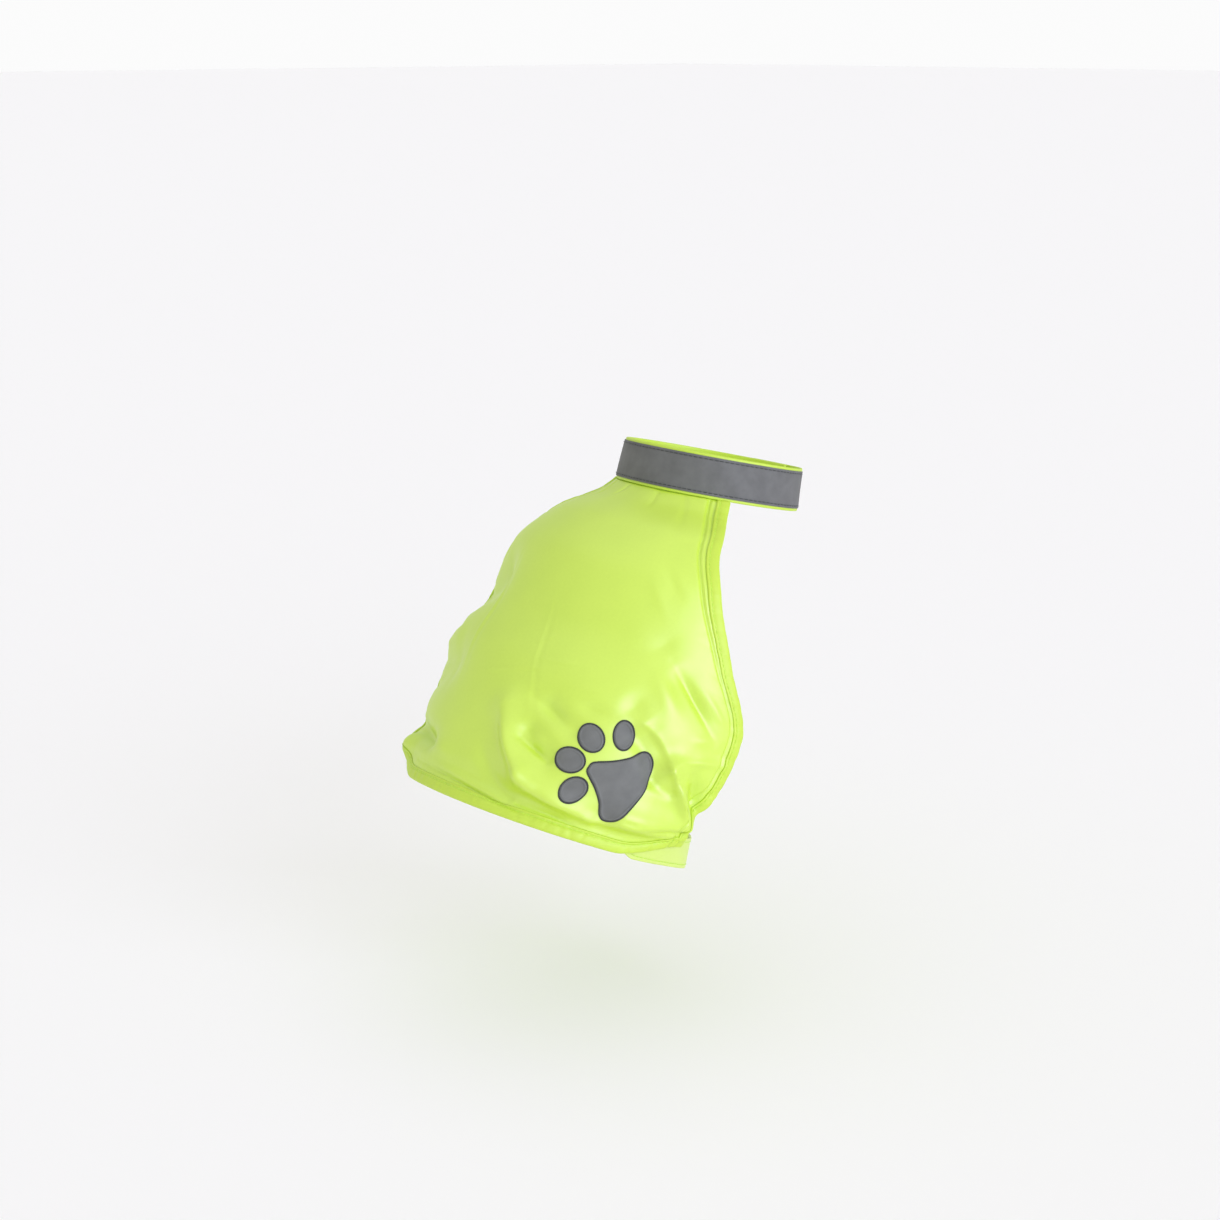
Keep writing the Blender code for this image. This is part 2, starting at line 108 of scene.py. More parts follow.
HEM_RISE_FROM = 0.62
STRAP_TUCK_DEG = 24.0
BELLY_OVERLAP_DEG = 14.0
BELLY_RAMP_DEG = 26.0
LEAN_FROM_DEG = (100.0, 126.0)
LEAN_TO_DEG = (132.0, 160.0)
LEAN_LOW = 6.0
LEAN_HIGH = -5.0
COLLAR_OVERLAP_DEG = 16.0
COLLAR_RAMP_DEG = 30.0
TAPE_REACH_DEG = 128.0
FASTENER_MARGIN_DEG = 3.0
FASTENER_MARGIN_MM = 3.0
PAW_AT = 0.805
PAW_DEG = 54.3
PAW_TURN_DEG = 15.0
PAW_MM_PER_DEG = 1.88

# ---- The scene's own sizes ----

ROWS = 210
COLUMNS = 270
CLOTH_WALL = 0.7
# Where the panel's upper edge goes inside the collar: out from the collar's face, and up from its lower rim
TUCK = ((-2.7, 5.0), (-2.7, 2.4), (-2.6, 1.0), (-1.9, 0.4), (-0.9, 0.1))

# Creases on the cloth. "bow" bends the line sideways at its middle, "start" and "end" are the shares of the
# height left at its two ends, "lean" makes one side wider, and "crisp" is 2 for a soft one, less for a sharp
# one. Bow, width and height are millimetres.
CREASE_STEPS = 12
Crease = namedtuple("Crease", "name at0 deg0 at1 deg1 bow width height start end lean crisp")
CREASES = [Crease(*row) for row in (
    # Marks of how the cloth was folded for packing: fine lines with a shaded side
    ("packing_down", 0.383, 5.1, 0.74, 19.3, -2, 0.7, 0.17, 0.25, 0.4, 0, 1.4),
    ("packing_down_side", 0.385, 6.6, 0.735, 20.9, -2, 1.4, -0.22, 0.3, 0.3, 0, 1.7),
    ("packing_across", 0.65, -6, 0.602, 15, 0.8, 0.9, 0.3, 0.1, 0.8, 0, 1.4),
    ("packing_across_side", 0.662, -5, 0.613, 14, 0.8, 1.6, -0.3, 0.1, 0.8, 0, 1.7),
    ("packing_across_far", 0.575, 13.7, 0.552, 30.5, -0.6, 0.9, 0.26, 0.8, 0.1, 0, 1.4),
    ("packing_branch", 0.53, 9.6, 0.5, 15.2, 0.5, 0.9, 0.24, 0.9, 0, 0, 1.4),
    # The pouch over the right rear corner: its lip, and the dimples over it
    ("lip_left", 0.712, 9, 0.888, 29.5, -4.4, 4, 4.5, 0.05, 0.4, 0.25, 2),
    ("lip_left_under", 0.8, 4, 0.93, 24, -4, 4.2, -1.8, 0, 0.7, 0, 2),
    ("lip_low", 0.884, 26, 0.92, 54, -1, 4, 4, 0.45, 0.5, 0.3, 2),
    ("lip_low_under", 0.94, 28, 0.958, 54, 1, 1.9, -1.5, 0.7, 0.1, 0, 2),
    ("lip_right", 0.92, 52, 0.9, 86, 1, 3.4, 2.6, 0.5, 0.3, 0.2, 2),
    ("pouch_line_low", 0.888, 60.5, 0.888, 72, -0.7, 0.95, -0.9, 0.1, 0.2, 0, 1.6),
    ("pouch_line_long", 0.91, 65, 0.884, 93, 0.6, 1.2, -1.7, 0, 1, 0, 1.6),
    ("pouch_line_corner", 0.893, 88.5, 0.876, 97, 0.2, 1.5, -1.5, 0.1, 1, 0, 1.8),
    ("toe_dimple_deep", 0.781, 19.5, 0.815, 31.5, 0, 1.4, -3, 0.4, 0.3, 0.2, 1.8),
    ("toe_dimple_soft", 0.672, 17.5, 0.722, 33.5, 0.4, 2.8, -2, 0.3, 0, 0, 1.9),
    ("toe_dimple_rise", 0.752, 19, 0.79, 31.5, 0.3, 2.8, 1.9, 0, 0.2, 0, 2),
    ("upper_hollow", 0.668, 29, 0.658, 44.5, 1, 3.4, -1.5, 0.2, 0.3, 0, 2),
    ("upper_hollow_rise", 0.628, 26, 0.612, 42, 0.6, 3.6, 0.4, 0.1, 0, 0, 2),
    # The folds that hang past the paw to the right rear corner
    ("arch", 0.668, 44, 0.77, 65.5, 4, 4.8, -3.8, 0.1, 0.75, 0, 2),
    ("arch_rise", 0.64, 46, 0.742, 70.4, 6, 4.6, 3.6, 0, 0.8, 0.3, 1.4),
    ("arch_branch", 0.76, 60.5, 0.797, 74, -1.8, 3.2, -1.6, 0.2, 0.9, 0.1, 2),
    ("corner_ridge", 0.735, 69.4, 0.868, 90, -0.9, 2.7, 3.6, 0.6, 0.4, 0.2, 1.5),
    ("corner_shade", 0.752, 80.5, 0.85, 95, 0, 5.2, -5, 0.5, 0.6, 0, 2),
    ("corner_shade_top", 0.716, 70.5, 0.69, 92, 1.2, 2.6, 1.8, 0.4, 0.5, 0, 1.5),
    # Streaks down the right flank, soft lines under the shoulder, and two places where the solids' troughs
    # start too suddenly and are filled up
    ("streak_rise", 0.5, 48.5, 0.64, 66, 1, 5, 1.8, 0.1, 0.1, 0, 2),
    ("streak", 0.474, 54.5, 0.64, 83, 0.6, 2.6, -3, 0.1, 0.1, 0.1, 2),
    ("streak_low", 0.652, 71, 0.64, 84, 0.6, 3.2, 0.9, 0.1, 0.2, 0, 2),
    ("streak_low_rise", 0.498, 64.5, 0.612, 86.5, 0.6, 2.2, 0.9, 0.1, 0.2, 0, 1.9),
    ("shoulder_line", 0.215, 38, 0.33, 52, -1.6, 3.4, -0.7, 0, 0.1, 0, 2),
    ("shoulder_line_rise", 0.25, 34, 0.385, 50, -1.2, 3.6, 0.5, 0, 0, 0, 2),
    ("shoulder_even", 0.432, 49.5, 0.52, 62, 0, 8, 2.1, 0.8, 0, 0, 2),
    ("flank_even", 0.62, 50.5, 0.662, 58, 0, 5.8, 2.2, 0.9, 0, 0, 2),
    # Along the hem, from the left corner to where it runs into the binding
    ("hem_line", 0.93, -27, 0.98, 37, 2, 1.25, -1.9, 0.3, 0.1, 0, 1.7),
    ("hem_line_rise", 0.905, -25, 0.955, 30, 1.6, 2.4, 1, 0.2, 0.1, 0, 2),
    # The left side: the step at the rear corner, and what is drawn in under the collar
    ("left_step", 0.884, -53, 0.86, -38, 1, 1.8, -1.7, 1, 0.1, 0.3, 1.6),
    ("left_step_far", 0.82, -56, 0.812, -36, -1.5, 2.6, 1, 0.6, 0, 0, 2),
    ("neck_gather_one", 0.012, -42, 0.125, -35, 1.2, 2.6, -1.1, 1, 0, 0, 1.8),
    ("neck_gather_two", 0.01, -31, 0.085, -26, -0.8, 2.2, -0.8, 1, 0, 0, 1.8),
    ("neck_gather_three", 0.01, -12, 0.07, -13.5, 0.6, 2.4, -0.6, 1, 0, 0, 1.8),
    ("neck_gather_four", 0.01, 13, 0.09, 17, -0.8, 2.6, -0.35, 1, 0, 0, 1.8),
    ("neck_gather_five", 0.01, 30, 0.15, 37.5, 1.6, 2.9, -0.4, 1, 0, 0, 1.9),
    ("neck_gather_six", 0.01, 47, 0.11, 50, 0.8, 2.2, -0.45, 1, 0, 0, 1.8),
    ("left_shade", 0.245, -50, 0.345, -44, 2, 3.6, -1.5, 0.4, 0, 0, 2),
    ("left_draw_one", 0.41, -66, 0.48, -40, -2.4, 3.2, -1.5, 0.35, 0, 0.2, 1.8),
    ("left_draw_one_rise", 0.468, -67, 0.532, -42, -1.6, 3, 1, 0.3, 0, 0, 2),
    ("left_draw_two", 0.548, -66, 0.566, -34, 2.6, 2.8, -1.2, 0.2, 0, -0.2, 1.8),
    ("left_draw_three", 0.66, -65, 0.64, -30, -2.2, 3.4, -1.3, 0.2, 0, 0.2, 1.8),
    ("left_draw_three_rise", 0.612, -64, 0.6, -38, -1, 3, 0.8, 0.2, 0, 0, 2),
    ("left_draw_four", 0.755, -62, 0.718, -33, 1.8, 2.7, -1.2, 0.3, 0, 0, 1.8),
    ("left_packing_down", 0.3, -24, 0.7, -17.5, -1.2, 1, 0.36, 0.2, 0.25, 0, 1.4),
    ("left_packing_side", 0.305, -22.2, 0.69, -15.6, -1.2, 1.8, -0.4, 0.2, 0.2, 0, 1.7),
    ("left_hem_rise", 0.87, -20, 0.895, -2, 1.4, 4.2, 0.9, 0.1, 0, 0, 2),
)]

# Small puckers that the seams draw into the cloth: how far apart, how deep and how wide they are, how far
# they reach, how much they slant, and the seed of each seam's random draws
PUCKER_SPACING = (4.5, 11.0)
PUCKER_DEPTH = (0.08, 0.36)
PUCKER_WIDTH = (1.2, 2.6)
PUCKER_REACH = (4.0, 13.0)
PUCKER_SKEW = (-0.5, 0.5)
LEFT_PUCKERS = 3
RIGHT_PUCKERS = 5
HEM_PUCKERS = 8
# The ditch that each seam presses into the cloth beside its binding
DITCH_BESIDE = 1.2
DITCH_WIDTH = 1.1
DITCH_DEPTH = 0.45
# The line that the binding's hidden half prints along both armhole edges
EDGE_LINE_INSET = 11.4
EDGE_LINE_WANDER = 0.6
EDGE_LINE_WAVE = 31.0
EDGE_LINE_WIDTH = 1.1
EDGE_LINE_DEPTH = 1.5

# Unevenness of the whole cloth: the waves' size and height, how far they are drawn out down the body, how far
# apart their layers of noise lie, and between which distances from a seam they come in
RUMPLES = ((46.0, 0.55), (21.0, 0.26), (9.0, 0.08))
RUMPLE_DRAWN = 0.7
RUMPLE_LAYER = 11.3
RUMPLE_COMES = (2.0, 16.0)

# A binding's section: inwards from the cloth's edge, and out from its face. It is a strip folded over the
# edge, so its outer skin is followed by its inner one.
STITCH_INSET = 5.3
BINDING_SECTION = (
    (7.35, 0.1), (7.25, 0.48), (7.0, 0.74), (6.5, 0.8), (6.0, 0.7), (5.6, 0.58), (5.3, 0.54), (5.0, 0.58),
    (4.6, 0.74), (3.8, 0.94), (2.6, 1.05), (1.4, 1.0), (0.5, 0.84), (-0.15, 0.52), (-0.52, 0.05),
    (-0.62, -0.35), (-0.52, -0.8), (-0.1, -1.22), (0.6, -1.45), (2.0, -1.6), (3.8, -1.55), (5.0, -1.28),
    (5.6, -1.22), (6.4, -1.42), (7.0, -1.32), (7.15, -0.86), (5.4, -0.82), (2.6, -0.88), (0.4, -0.9),
    (-0.08, -0.7), (-0.16, -0.35), (-0.08, 0.0), (0.4, 0.14), (2.6, 0.18), (5.4, 0.1),
)
EDGE_SECTIONS = 330
EDGE_COLUMNS = 24
# What of a binding's face is uneven: its parts that stand higher than this, by this share
RIPPLED_ABOVE = 0.2
RIPPLE = 0.07
# Each row of a binding's stitches: how far out from the cloth's face it lies, and which way it faces
BINDING_ROWS = (("outer", 0.52, 1.0), ("inner", -1.3, -1.0))
# How many sections are left off the hem binding's two ends, where the armhole bindings lie
HEM_TRIM = (9, 9)

# Straps: thickness, rounded edge, how deep a seam lies, and the number of points across. The belly strap's
# heights and rounded edge are shares of its width.
StrapKind = namedtuple("StrapKind", "thick corner ditch points")
BAND = StrapKind(1.7, 0.8, 0.2, 9)
TAPE = StrapKind(0.42, 0.3, 0.12, 13)
BELLY = StrapKind(1.45, 0.035, 0.16, 9)
NECK_FASTENER = StrapKind(0.95, 0.4, 0.0, 9)
BELLY_FASTENER = StrapKind(0.95, 0.02, 0.0, 9)
BAND_SECTIONS, TAPE_SECTIONS, FASTENER_SECTIONS = 330, 260, 40
BAND_BELOW = 0.2
BAND_SEAM_INSET = 2.6
TAPE_OUT = 0.55
TAPE_SEAM_INSET = 3.0
TAPE_STITCH_LIFT = 0.1
# The collar is a little uneven: waves in its round, with their phase, slant and height
COLLAR_WAVES = ((3.0, 0.8, 0.0, 0.35), (7.0, 0.0, 0.12, 0.22))
STRAP_WIDTH_MM = 20.0
STRAP_SEAMS = (0.12, 0.88)
STRAP_STITCH_LIFT = -0.05
RIGHT_STRAP_SECTIONS, LEFT_STRAP_SECTIONS = 200, 240
# The belly strap's sewn ends are cut at a slant, so that they come out from under the hem little by little
STRAP_CUT = 0.15
STRAP_CUT_DEG = (0.5, 9.0)
CLIMB_SPARE_DEG = 2.0
# On the flat cloth a strap's inner face, what lies below this depth, is this far beside its outer face
INNER_BELOW = -0.3
INNER_BESIDE = 40.0

THREAD_RADIUS = 0.19
THREAD_SIDES = 6
THREAD_SINK = 0.14
STITCH_PITCH = 3.1
STITCH_LENGTH = 2.45
STITCH_RISE = 0.16

# ---- Looks ----

# Each colour has a deeper shade
FLUORO = (0.55, 0.752, 0.04)
FLUORO_DEEP = (0.523, 0.722, 0.033)
FLUORO_TRIM = (0.515, 0.7, 0.036)
TRIM_DEEP = (0.485, 0.666, 0.028)
# The belly straps are paler than the panel's cloth: this is a painted highlight, for the whiter light that
# falls on them
STRAP_PAINTED_HIGHLIGHT = (0.61, 0.775, 0.13)
STRAP_PAINTED_HIGHLIGHT_DEEP = (0.58, 0.745, 0.105)
CLOTH_IOR = 1.66
TRIM_IOR = 1.5
DYE_CLOUD_MM = 26.0
SPECKLE_MM = 1.7
REFLECTIVE_GREY = (0.152, 0.153, 0.148)
REFLECTIVE_DEEP = (0.12, 0.121, 0.116)
PRINT_GREY = (0.168, 0.172, 0.16)
PRINT_DEEP = (0.136, 0.14, 0.13)
BEADS_PER_MM = 3.2
TAPE_CLOUD_MM = 9.0
PILE_LIGHT = (0.48, 0.72, 0.06)
PILE_DEEP = (0.34, 0.55, 0.03)
PILE_FUZZ_MM = 0.5
THREAD_YELLOW = (0.52, 0.78, 0.06)
CHARCOAL = (0.028, 0.032, 0.03)
THREAD_TWIST = 900.0
FLOOR_COLOUR = (0.965, 0.95, 0.925)

# The photograph: its size and lens in pixels, the view's angles, the distance, and the pixel that the
# collar's middle is at
PHOTO_SIZE = 1220
LENS_PIXELS = 2000.0
VIEW_TURN_DEG = 47.0
VIEW_RISE_DEG = 16.0
VIEW_DISTANCE = 1.2
ORIGIN_PIXEL = (707.0, 487.0)
SENSOR_MM = 36.0
FLOOR_Z = -0.285
FLOOR_SIZE = 60.0

# The world is brighter at the horizon than above this band of heights. The lights are wide and soft, each
# turned as the view is: 0 straight behind the vest and 90 at its right side. The key light is a little cool.
WORLD_STRENGTH = 0.68
HORIZON_STRENGTH = 0.97
HORIZON_BAND = (0.03, 0.3)
Sun = namedtuple("Sun", "name turn_deg rise_deg strength spread_deg colour")
SUNS = (
    Sun("key", 86.0, 7.0, 2.7, 62.0, (0.91, 0.95, 1.22)),
    Sun("top", 0.0, 88.0, 0.4, 80.0, (1.0, 1.0, 0.98)),
)


def smoothstep(low, high, value):
    part = np.clip((value - low) / (high - low), 0.0, 1.0)
    return part * part * (3.0 - 2.0 * part)


def together(*values):
    """The values as arrays of one shape."""
    return np.broadcast_arrays(*(np.asarray(value, float) for value in values))


def unit(vectors):
    return vectors / np.linalg.norm(vectors, axis=-1, keepdims=True)


def run_of(line):
    """How far along a line of points each of them lies."""
    return np.cumsum(np.linalg.norm(np.diff(line, axis=0, prepend=line[:1]), axis=-1))


# ---- The body's form, as in the solids ----


def column_of_rings(column, at):
    """One column of RINGS as a smooth curve over "at", which never overshoots its rows."""
    known = np.array([ring.at for ring in RINGS])
    value = np.array([getattr(ring, column) for ring in RINGS])
    slope = np.diff(value) / np.diff(known)
    before, after = slope[:-1], slope[1:]
    same_way = before * after > 0
    middle = np.where(same_way, 2.0 * before * after / np.where(same_way, before + after, 1.0), 0.0)
    tangent = np.concatenate([slope[:1], middle, slope[-1:]])
    row = np.clip(np.searchsorted(known, at) - 1, 0, len(known) - 2)
    span = known[row + 1] - known[row]
    t = (at - known[row]) / span
    start = (2 * t**3 - 3 * t**2 + 1) * value[row] + (t**3 - 2 * t**2 + t) * span * tangent[row]
    return start + (3 * t**2 - 2 * t**3) * value[row + 1] + (t**3 - t**2) * span * tangent[row + 1]


def one_fold(fold, at, deg):
    """How far one fold lifts the cloth there, in millimetres."""
    place = np.stack([at * LENGTH_MM, deg * MM_PER_DEG], axis=-1)
    start = np.array([fold.at0 * LENGTH_MM, fold.deg0 * MM_PER_DEG])
    along = np.array([fold.at1 * LENGTH_MM, fold.deg1 * MM_PER_DEG]) - start
    part = np.clip(((place - start) @ along) / (along @ along), 0.0, 1.0)
    away = np.linalg.norm(place - start - part[..., None] * along, axis=-1)
    return fold.height * np.exp(-((away / fold.width) ** 2))


def fold_height(at, deg):
    """How far all the folds lift the cloth there, in millimetres."""
    total = np.zeros(np.shape(at))
    for fold in FOLDS:
        held = smoothstep(*(RAISED_HELD if fold.height > 0 else HOLLOW_HELD), at)
        total += one_fold(fold, at, deg) * (1.0 - held)
    across = (deg - column_of_rings("centre_deg", at)) / column_of_rings("half_span_deg", at)
    held = EDGE_HOLD * smoothstep(*EDGE_HELD, np.abs(across))
    return total * (1.0 - held) + one_fold(LEFT_FLARE, at, deg)


def body_point(at, deg, out=0.0):
    """A point of the body's rings, "out" millimetres outside them. It returns metres."""
    at, deg = together(at, deg)
    angle = np.radians(deg)
    tilt = np.radians(column_of_rings("tilt", at))
    across = (column_of_rings("half_width", at) + out) * np.sin(angle)
    back = (column_of_rings("half_depth", at) + out) * np.cos(angle)
    y = column_of_rings("y", at) + back * np.cos(tilt)
    z = column_of_rings("z", at) + back * np.sin(tilt)
    return np.stack([-across, y, z], axis=-1) * MM


def hem_at(across):
    """Where the panel ends, for -1 to 1 across the panel."""
    return 1.0 - HEM_RISE * smoothstep(HEM_RISE_FROM, 1.0, np.abs(across))


def collar_point(deg, out, up):
    """Points of the collar, "up" millimetres above its lower rim."""
    deg, out, up = together(deg, out, up)
    tilt = math.radians(RINGS[0].tilt)
    taper = -COLLAR_TAPER * up / COLLAR_HEIGHT
    rise = np.array([0.0, -math.sin(tilt), math.cos(tilt)])
    return body_point(0.0, deg, out + taper) + rise * (up * MM)[..., None]


def belt_lean(deg):
    """How much of the belly strap's lean there is, where it turns under the vest's right side."""
    return smoothstep(*LEAN_FROM_DEG, deg) * (1.0 - smoothstep(*LEAN_TO_DEG, deg))


def belt_point(deg, out, up):
    """Points of the belly strap, "up" from 0 at its lower edge to 1 at its upper edge."""
    deg, out, up = together(deg, out, up)
    low_at, high_at = STRAP_LOW_AT, STRAP_LOW_AT - STRAP_WIDTH_AT
    flare = FLARE_FOLLOWED * one_fold(LEFT_FLARE, np.full(deg.shape, high_at), deg)
    low_out = out + LEAN_LOW * belt_lean(deg)
    high_out = out + flare + LEAN_HIGH * belt_lean(deg)
    low, high = body_point(low_at, deg, low_out), body_point(high_at, deg, high_out)
    return low + (high - low) * up[..., None]


# ---- The cloth's own creases ----


def one_crease(crease, at, deg):
    """How far one crease lifts the cloth there, in millimetres."""
    start = np.array([crease.at0 * LENGTH_MM, crease.deg0 * MM_PER_DEG])
    along = np.array([crease.at1 * LENGTH_MM, crease.deg1 * MM_PER_DEG]) - start
    side = np.array([-along[1], along[0]]) / np.linalg.norm(along)
    t = np.linspace(0.0, 1.0, CREASE_STEPS + 1)[:, None]
    line = start + along * t + side * crease.bow * 4.0 * t * (1.0 - t)
    place = np.stack([at * LENGTH_MM, deg * MM_PER_DEG], axis=-1)
    near, part, hand = np.full(at.shape, np.inf), np.zeros(at.shape), np.ones(at.shape)
    for k in range(CREASE_STEPS):
        step = line[k + 1] - line[k]
        share = np.clip(((place - line[k]) @ step) / (step @ step), 0.0, 1.0)
        off = place - line[k] - share[..., None] * step
        away = np.linalg.norm(off, axis=-1)
        closer = away < near
        near = np.where(closer, away, near)
        part = np.where(closer, (k + share) / CREASE_STEPS, part)
        hand = np.where(closer, np.sign(step[0] * off[..., 1] - step[1] * off[..., 0]), hand)
    first = crease.start + (1.0 - crease.start) * smoothstep(0.0, 0.5, part)
    last = crease.end + (1.0 - crease.end) * smoothstep(0.0, 0.5, 1.0 - part)
    width = crease.width * (1.0 + crease.lean * hand)
    return crease.height * np.where(part < 0.5, first, last) * np.exp(-((near / width) ** crease.crisp))


def puckers(along, away, seed):
    """Small drawn-in lines that run from a seam into the cloth, in millimetres below its face."""
    draw = np.random.default_rng(seed)
    total = np.zeros(along.shape)
    place = along.min() + draw.uniform(*PUCKER_SPACING)
    while place < along.max():
        depth, width = draw.uniform(*PUCKER_DEPTH), draw.uniform(*PUCKER_WIDTH)
        reach, skew = draw.uniform(*PUCKER_REACH), draw.uniform(*PUCKER_SKEW)
        line = np.exp(-(((along - place - skew * away) / width) ** 2))
        total += depth * line * np.exp(-np.maximum(away - BINDING_WIDTH, 0.0) / reach)
        place += draw.uniform(*PUCKER_SPACING)
    return total


def rumple(at, deg):
    """The soft unevenness of worn cloth, in millimetres."""
    total = np.zeros(at.size)
    for k, (size, height) in enumerate(RUMPLES):
        for i, (down, round_body) in enumerate(zip(at.ravel() * LENGTH_MM, deg.ravel() * MM_PER_DEG)):
            spot = Vector((down / size * RUMPLE_DRAWN, round_body / size, RUMPLE_LAYER * k))
            total[i] += height * noise.noise(spot)
    return total.reshape(at.shape)


def grid_normals(points):
    """Unit normals of a grid of points, rows running down the body and columns to its right side."""
    down, right = np.gradient(points, axis=0), np.gradient(points, axis=1)
    return unit(np.cross(down, right))


class Cloth:
    """The outer face of the back panel: the solid's form with its creases, on a fine grid."""

    def __init__(self):
        rows, across = np.linspace(0.0, 1.0, ROWS), np.linspace(-1.0, 1.0, COLUMNS)
        rows, across = np.meshgrid(rows, across, indexing="ij")
        self.at = rows * hem_at(across)
        span = column_of_rings("half_span_deg", self.at)
        self.deg = column_of_rings("centre_deg", self.at) + across * span
        flat = body_point(self.at, self.deg)
        lift = fold_height(self.at, self.deg)
        for crease in CREASES:
            lift += one_crease(crease, self.at, self.deg)
        width = np.linalg.norm(np.diff(flat, axis=1), axis=-1).sum(axis=1, keepdims=True) / MM
        from_side = (1.0 - np.abs(across)) * width / 2.0
        from_hem = (1.0 - rows) * LENGTH_MM
        down, round_body = self.at * LENGTH_MM, self.deg * MM_PER_DEG
        left, right = (puckers(down, from_side, seed) for seed in (LEFT_PUCKERS, RIGHT_PUCKERS))
        lift -= np.where(across < 0.0, left, right)
        lift -= puckers(round_body, from_hem, HEM_PUCKERS)
        for away in (from_side, from_hem):
            lift -= DITCH_DEPTH * np.exp(-(((away - BINDING_WIDTH - DITCH_BESIDE) / DITCH_WIDTH) ** 2))
        seam = EDGE_LINE_INSET + EDGE_LINE_WANDER * np.sin(down / EDGE_LINE_WAVE + 0.4)
        lift -= EDGE_LINE_DEPTH * np.exp(-(((from_side - seam) / EDGE_LINE_WIDTH) ** 2))
        open_cloth = smoothstep(*RUMPLE_COMES, from_side) * smoothstep(*RUMPLE_COMES, from_hem)
        lift += rumple(self.at, self.deg) * open_cloth
        face = flat + grid_normals(flat) * (lift * MM)[..., None]
        tuck = np.stack([collar_point(self.deg[0], out, up) for out, up in TUCK])
        self.points = np.concatenate([tuck, face])
        self.normals = grid_normals(self.points)
        self.flat_mm = np.stack([round_body, down], axis=-1)

    def on_face(self, at, deg):
        """Points and normals of the cloth's face at places that needn't be on the grid."""
        across = (deg - column_of_rings("centre_deg", at)) / column_of_rings("half_span_deg", at)
        row = np.clip(at / hem_at(across) * (ROWS - 1), 0, ROWS - 1.001) + len(TUCK)
        column = np.clip((across + 1.0) / 2.0 * (COLUMNS - 1), 0, COLUMNS - 1.001)
        i, j = row.astype(int), column.astype(int)
        u, v = (row - i)[..., None], (column - j)[..., None]

        def between(grid):
            upper = grid[i, j] * (1 - v) + grid[i, j + 1] * v
            lower = grid[i + 1, j] * (1 - v) + grid[i + 1, j + 1] * v
            return upper * (1 - u) + lower * u

        return between(self.points), unit(between(self.normals))


# ---- Making meshes ----


def mesh_piece(name, points, faces, material, flat_mm=None, closed=True):
    """A smooth piece that rides on the vest. flat_mm gives each point's place on the flat cloth."""
    mesh = bpy.data.meshes.new(name)
    mesh.from_pydata(np.asarray(points).reshape(-1, 3).tolist(), [], faces)
    if closed:
        work = bmesh.new()
        work.from_mesh(mesh)
        bmesh.ops.recalc_face_normals(work, faces=work.faces)
        work.to_mesh(mesh)
        work.free()
    if flat_mm is not None:
        layer = mesh.uv_layers.new(name="cloth")
        corners = np.empty(len(mesh.loops), int)
        mesh.loops.foreach_get("vertex_index", corners)
        layer.data.foreach_set("uv", np.asarray(flat_mm, float).reshape(-1, 2)[corners].ravel())
    mesh.materials.append(material)
    mesh.shade_smooth()
    piece = bpy.data.objects.new(name, mesh)
    bpy.context.scene.collection.objects.link(piece)
    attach(piece, "root")
    return piece


def grid_faces(rows, columns, wrap=False, first=0):
    """Quads of a grid of points, closed round its columns if "wrap"."""
    last = columns if wrap else columns - 1
    starts = [first + i * columns for i in range(rows - 1)]
    sides = [(start + j, start + (j + 1) % columns) for start in starts for j in range(last)]
    return [(near, far, far + columns, near + columns) for near, far in sides]


def tube_piece(name, node, sections, material, flat_mm):
    """A closed solid through sections, an array of sections by points by 3. It replaces the node."""
    count, size = sections.shape[:2]
    ends = [tuple(range(size)), tuple(range((count - 1) * size, count * size))]
    faces = grid_faces(count, size, wrap=True) + ends
    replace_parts(mesh_piece(name, sections, faces, material, flat_mm), node)


def threads(name, starts, ends, normals, radius, rise, material):
    """Short bits of thread, each arched from its start to its end. Radius and rise are millimetres."""
    lift = np.array([-THREAD_SINK, 0.62, 1.0, 0.62, -THREAD_SINK])
    spot = np.array([0.0, 0.16, 0.5, 0.84, 1.0])
    along = ends - starts
    across = unit(np.cross(along, normals))
    middle = starts[:, None] + along[:, None] * spot[None, :, None]
    middle = middle + normals[:, None] * (lift * rise * MM)[None, :, None]
    angle = np.arange(THREAD_SIDES) * 2.0 * math.pi / THREAD_SIDES
    thick = radius * MM * np.array([0.7, 1.0, 1.0, 1.0, 0.7])
    wide = np.cos(angle)[None, None, :, None] * across[:, None, None, :]
    high = np.sin(angle)[None, None, :, None] * normals[:, None, None, :]
    points = middle[:, :, None, :] + (wide + high) * thick[None, :, None, None]
    faces = []
    size = len(spot) * THREAD_SIDES
    for k in range(len(starts)):
        faces += grid_faces(len(spot), THREAD_SIDES, wrap=True, first=k * size)
        faces.append(tuple(k * size + j for j in range(THREAD_SIDES)))
        faces.append(tuple(k * size + size - 1 - j for j in range(THREAD_SIDES)))
    mesh_piece(name, points, faces, material)


def stitch_row(name, points, normals, material):
    """A row of running stitches along a line of points."""
    place = run_of(points) / MM
    first = np.arange(0.5 * STITCH_PITCH, place[-1] - STITCH_PITCH, STITCH_PITCH)

    def at_place(values, where):
        return np.stack([np.interp(where, place, values[:, k]) for k in range(3)], axis=-1)

    starts, ends = at_place(points, first), at_place(points, first + STITCH_LENGTH)
    normal = unit(at_place(normals, first + STITCH_LENGTH / 2.0))
    threads(name, starts, ends, normal, THREAD_RADIUS, STITCH_RISE, material)


# ---- Materials ----


def shader_of(name, colour, roughness):
    material = bpy.data.materials.new(name)
    material.use_nodes = True
    tree = material.node_tree
    shader = tree.nodes["Principled BSDF"]
    shader.inputs["Base Color"].default_value = (*colour, 1.0)
    shader.inputs["Roughness"].default_value = roughness
    return material, tree, shader


def flat_place(tree):
    return tree.nodes.new("ShaderNodeTexCoord").outputs["UV"]


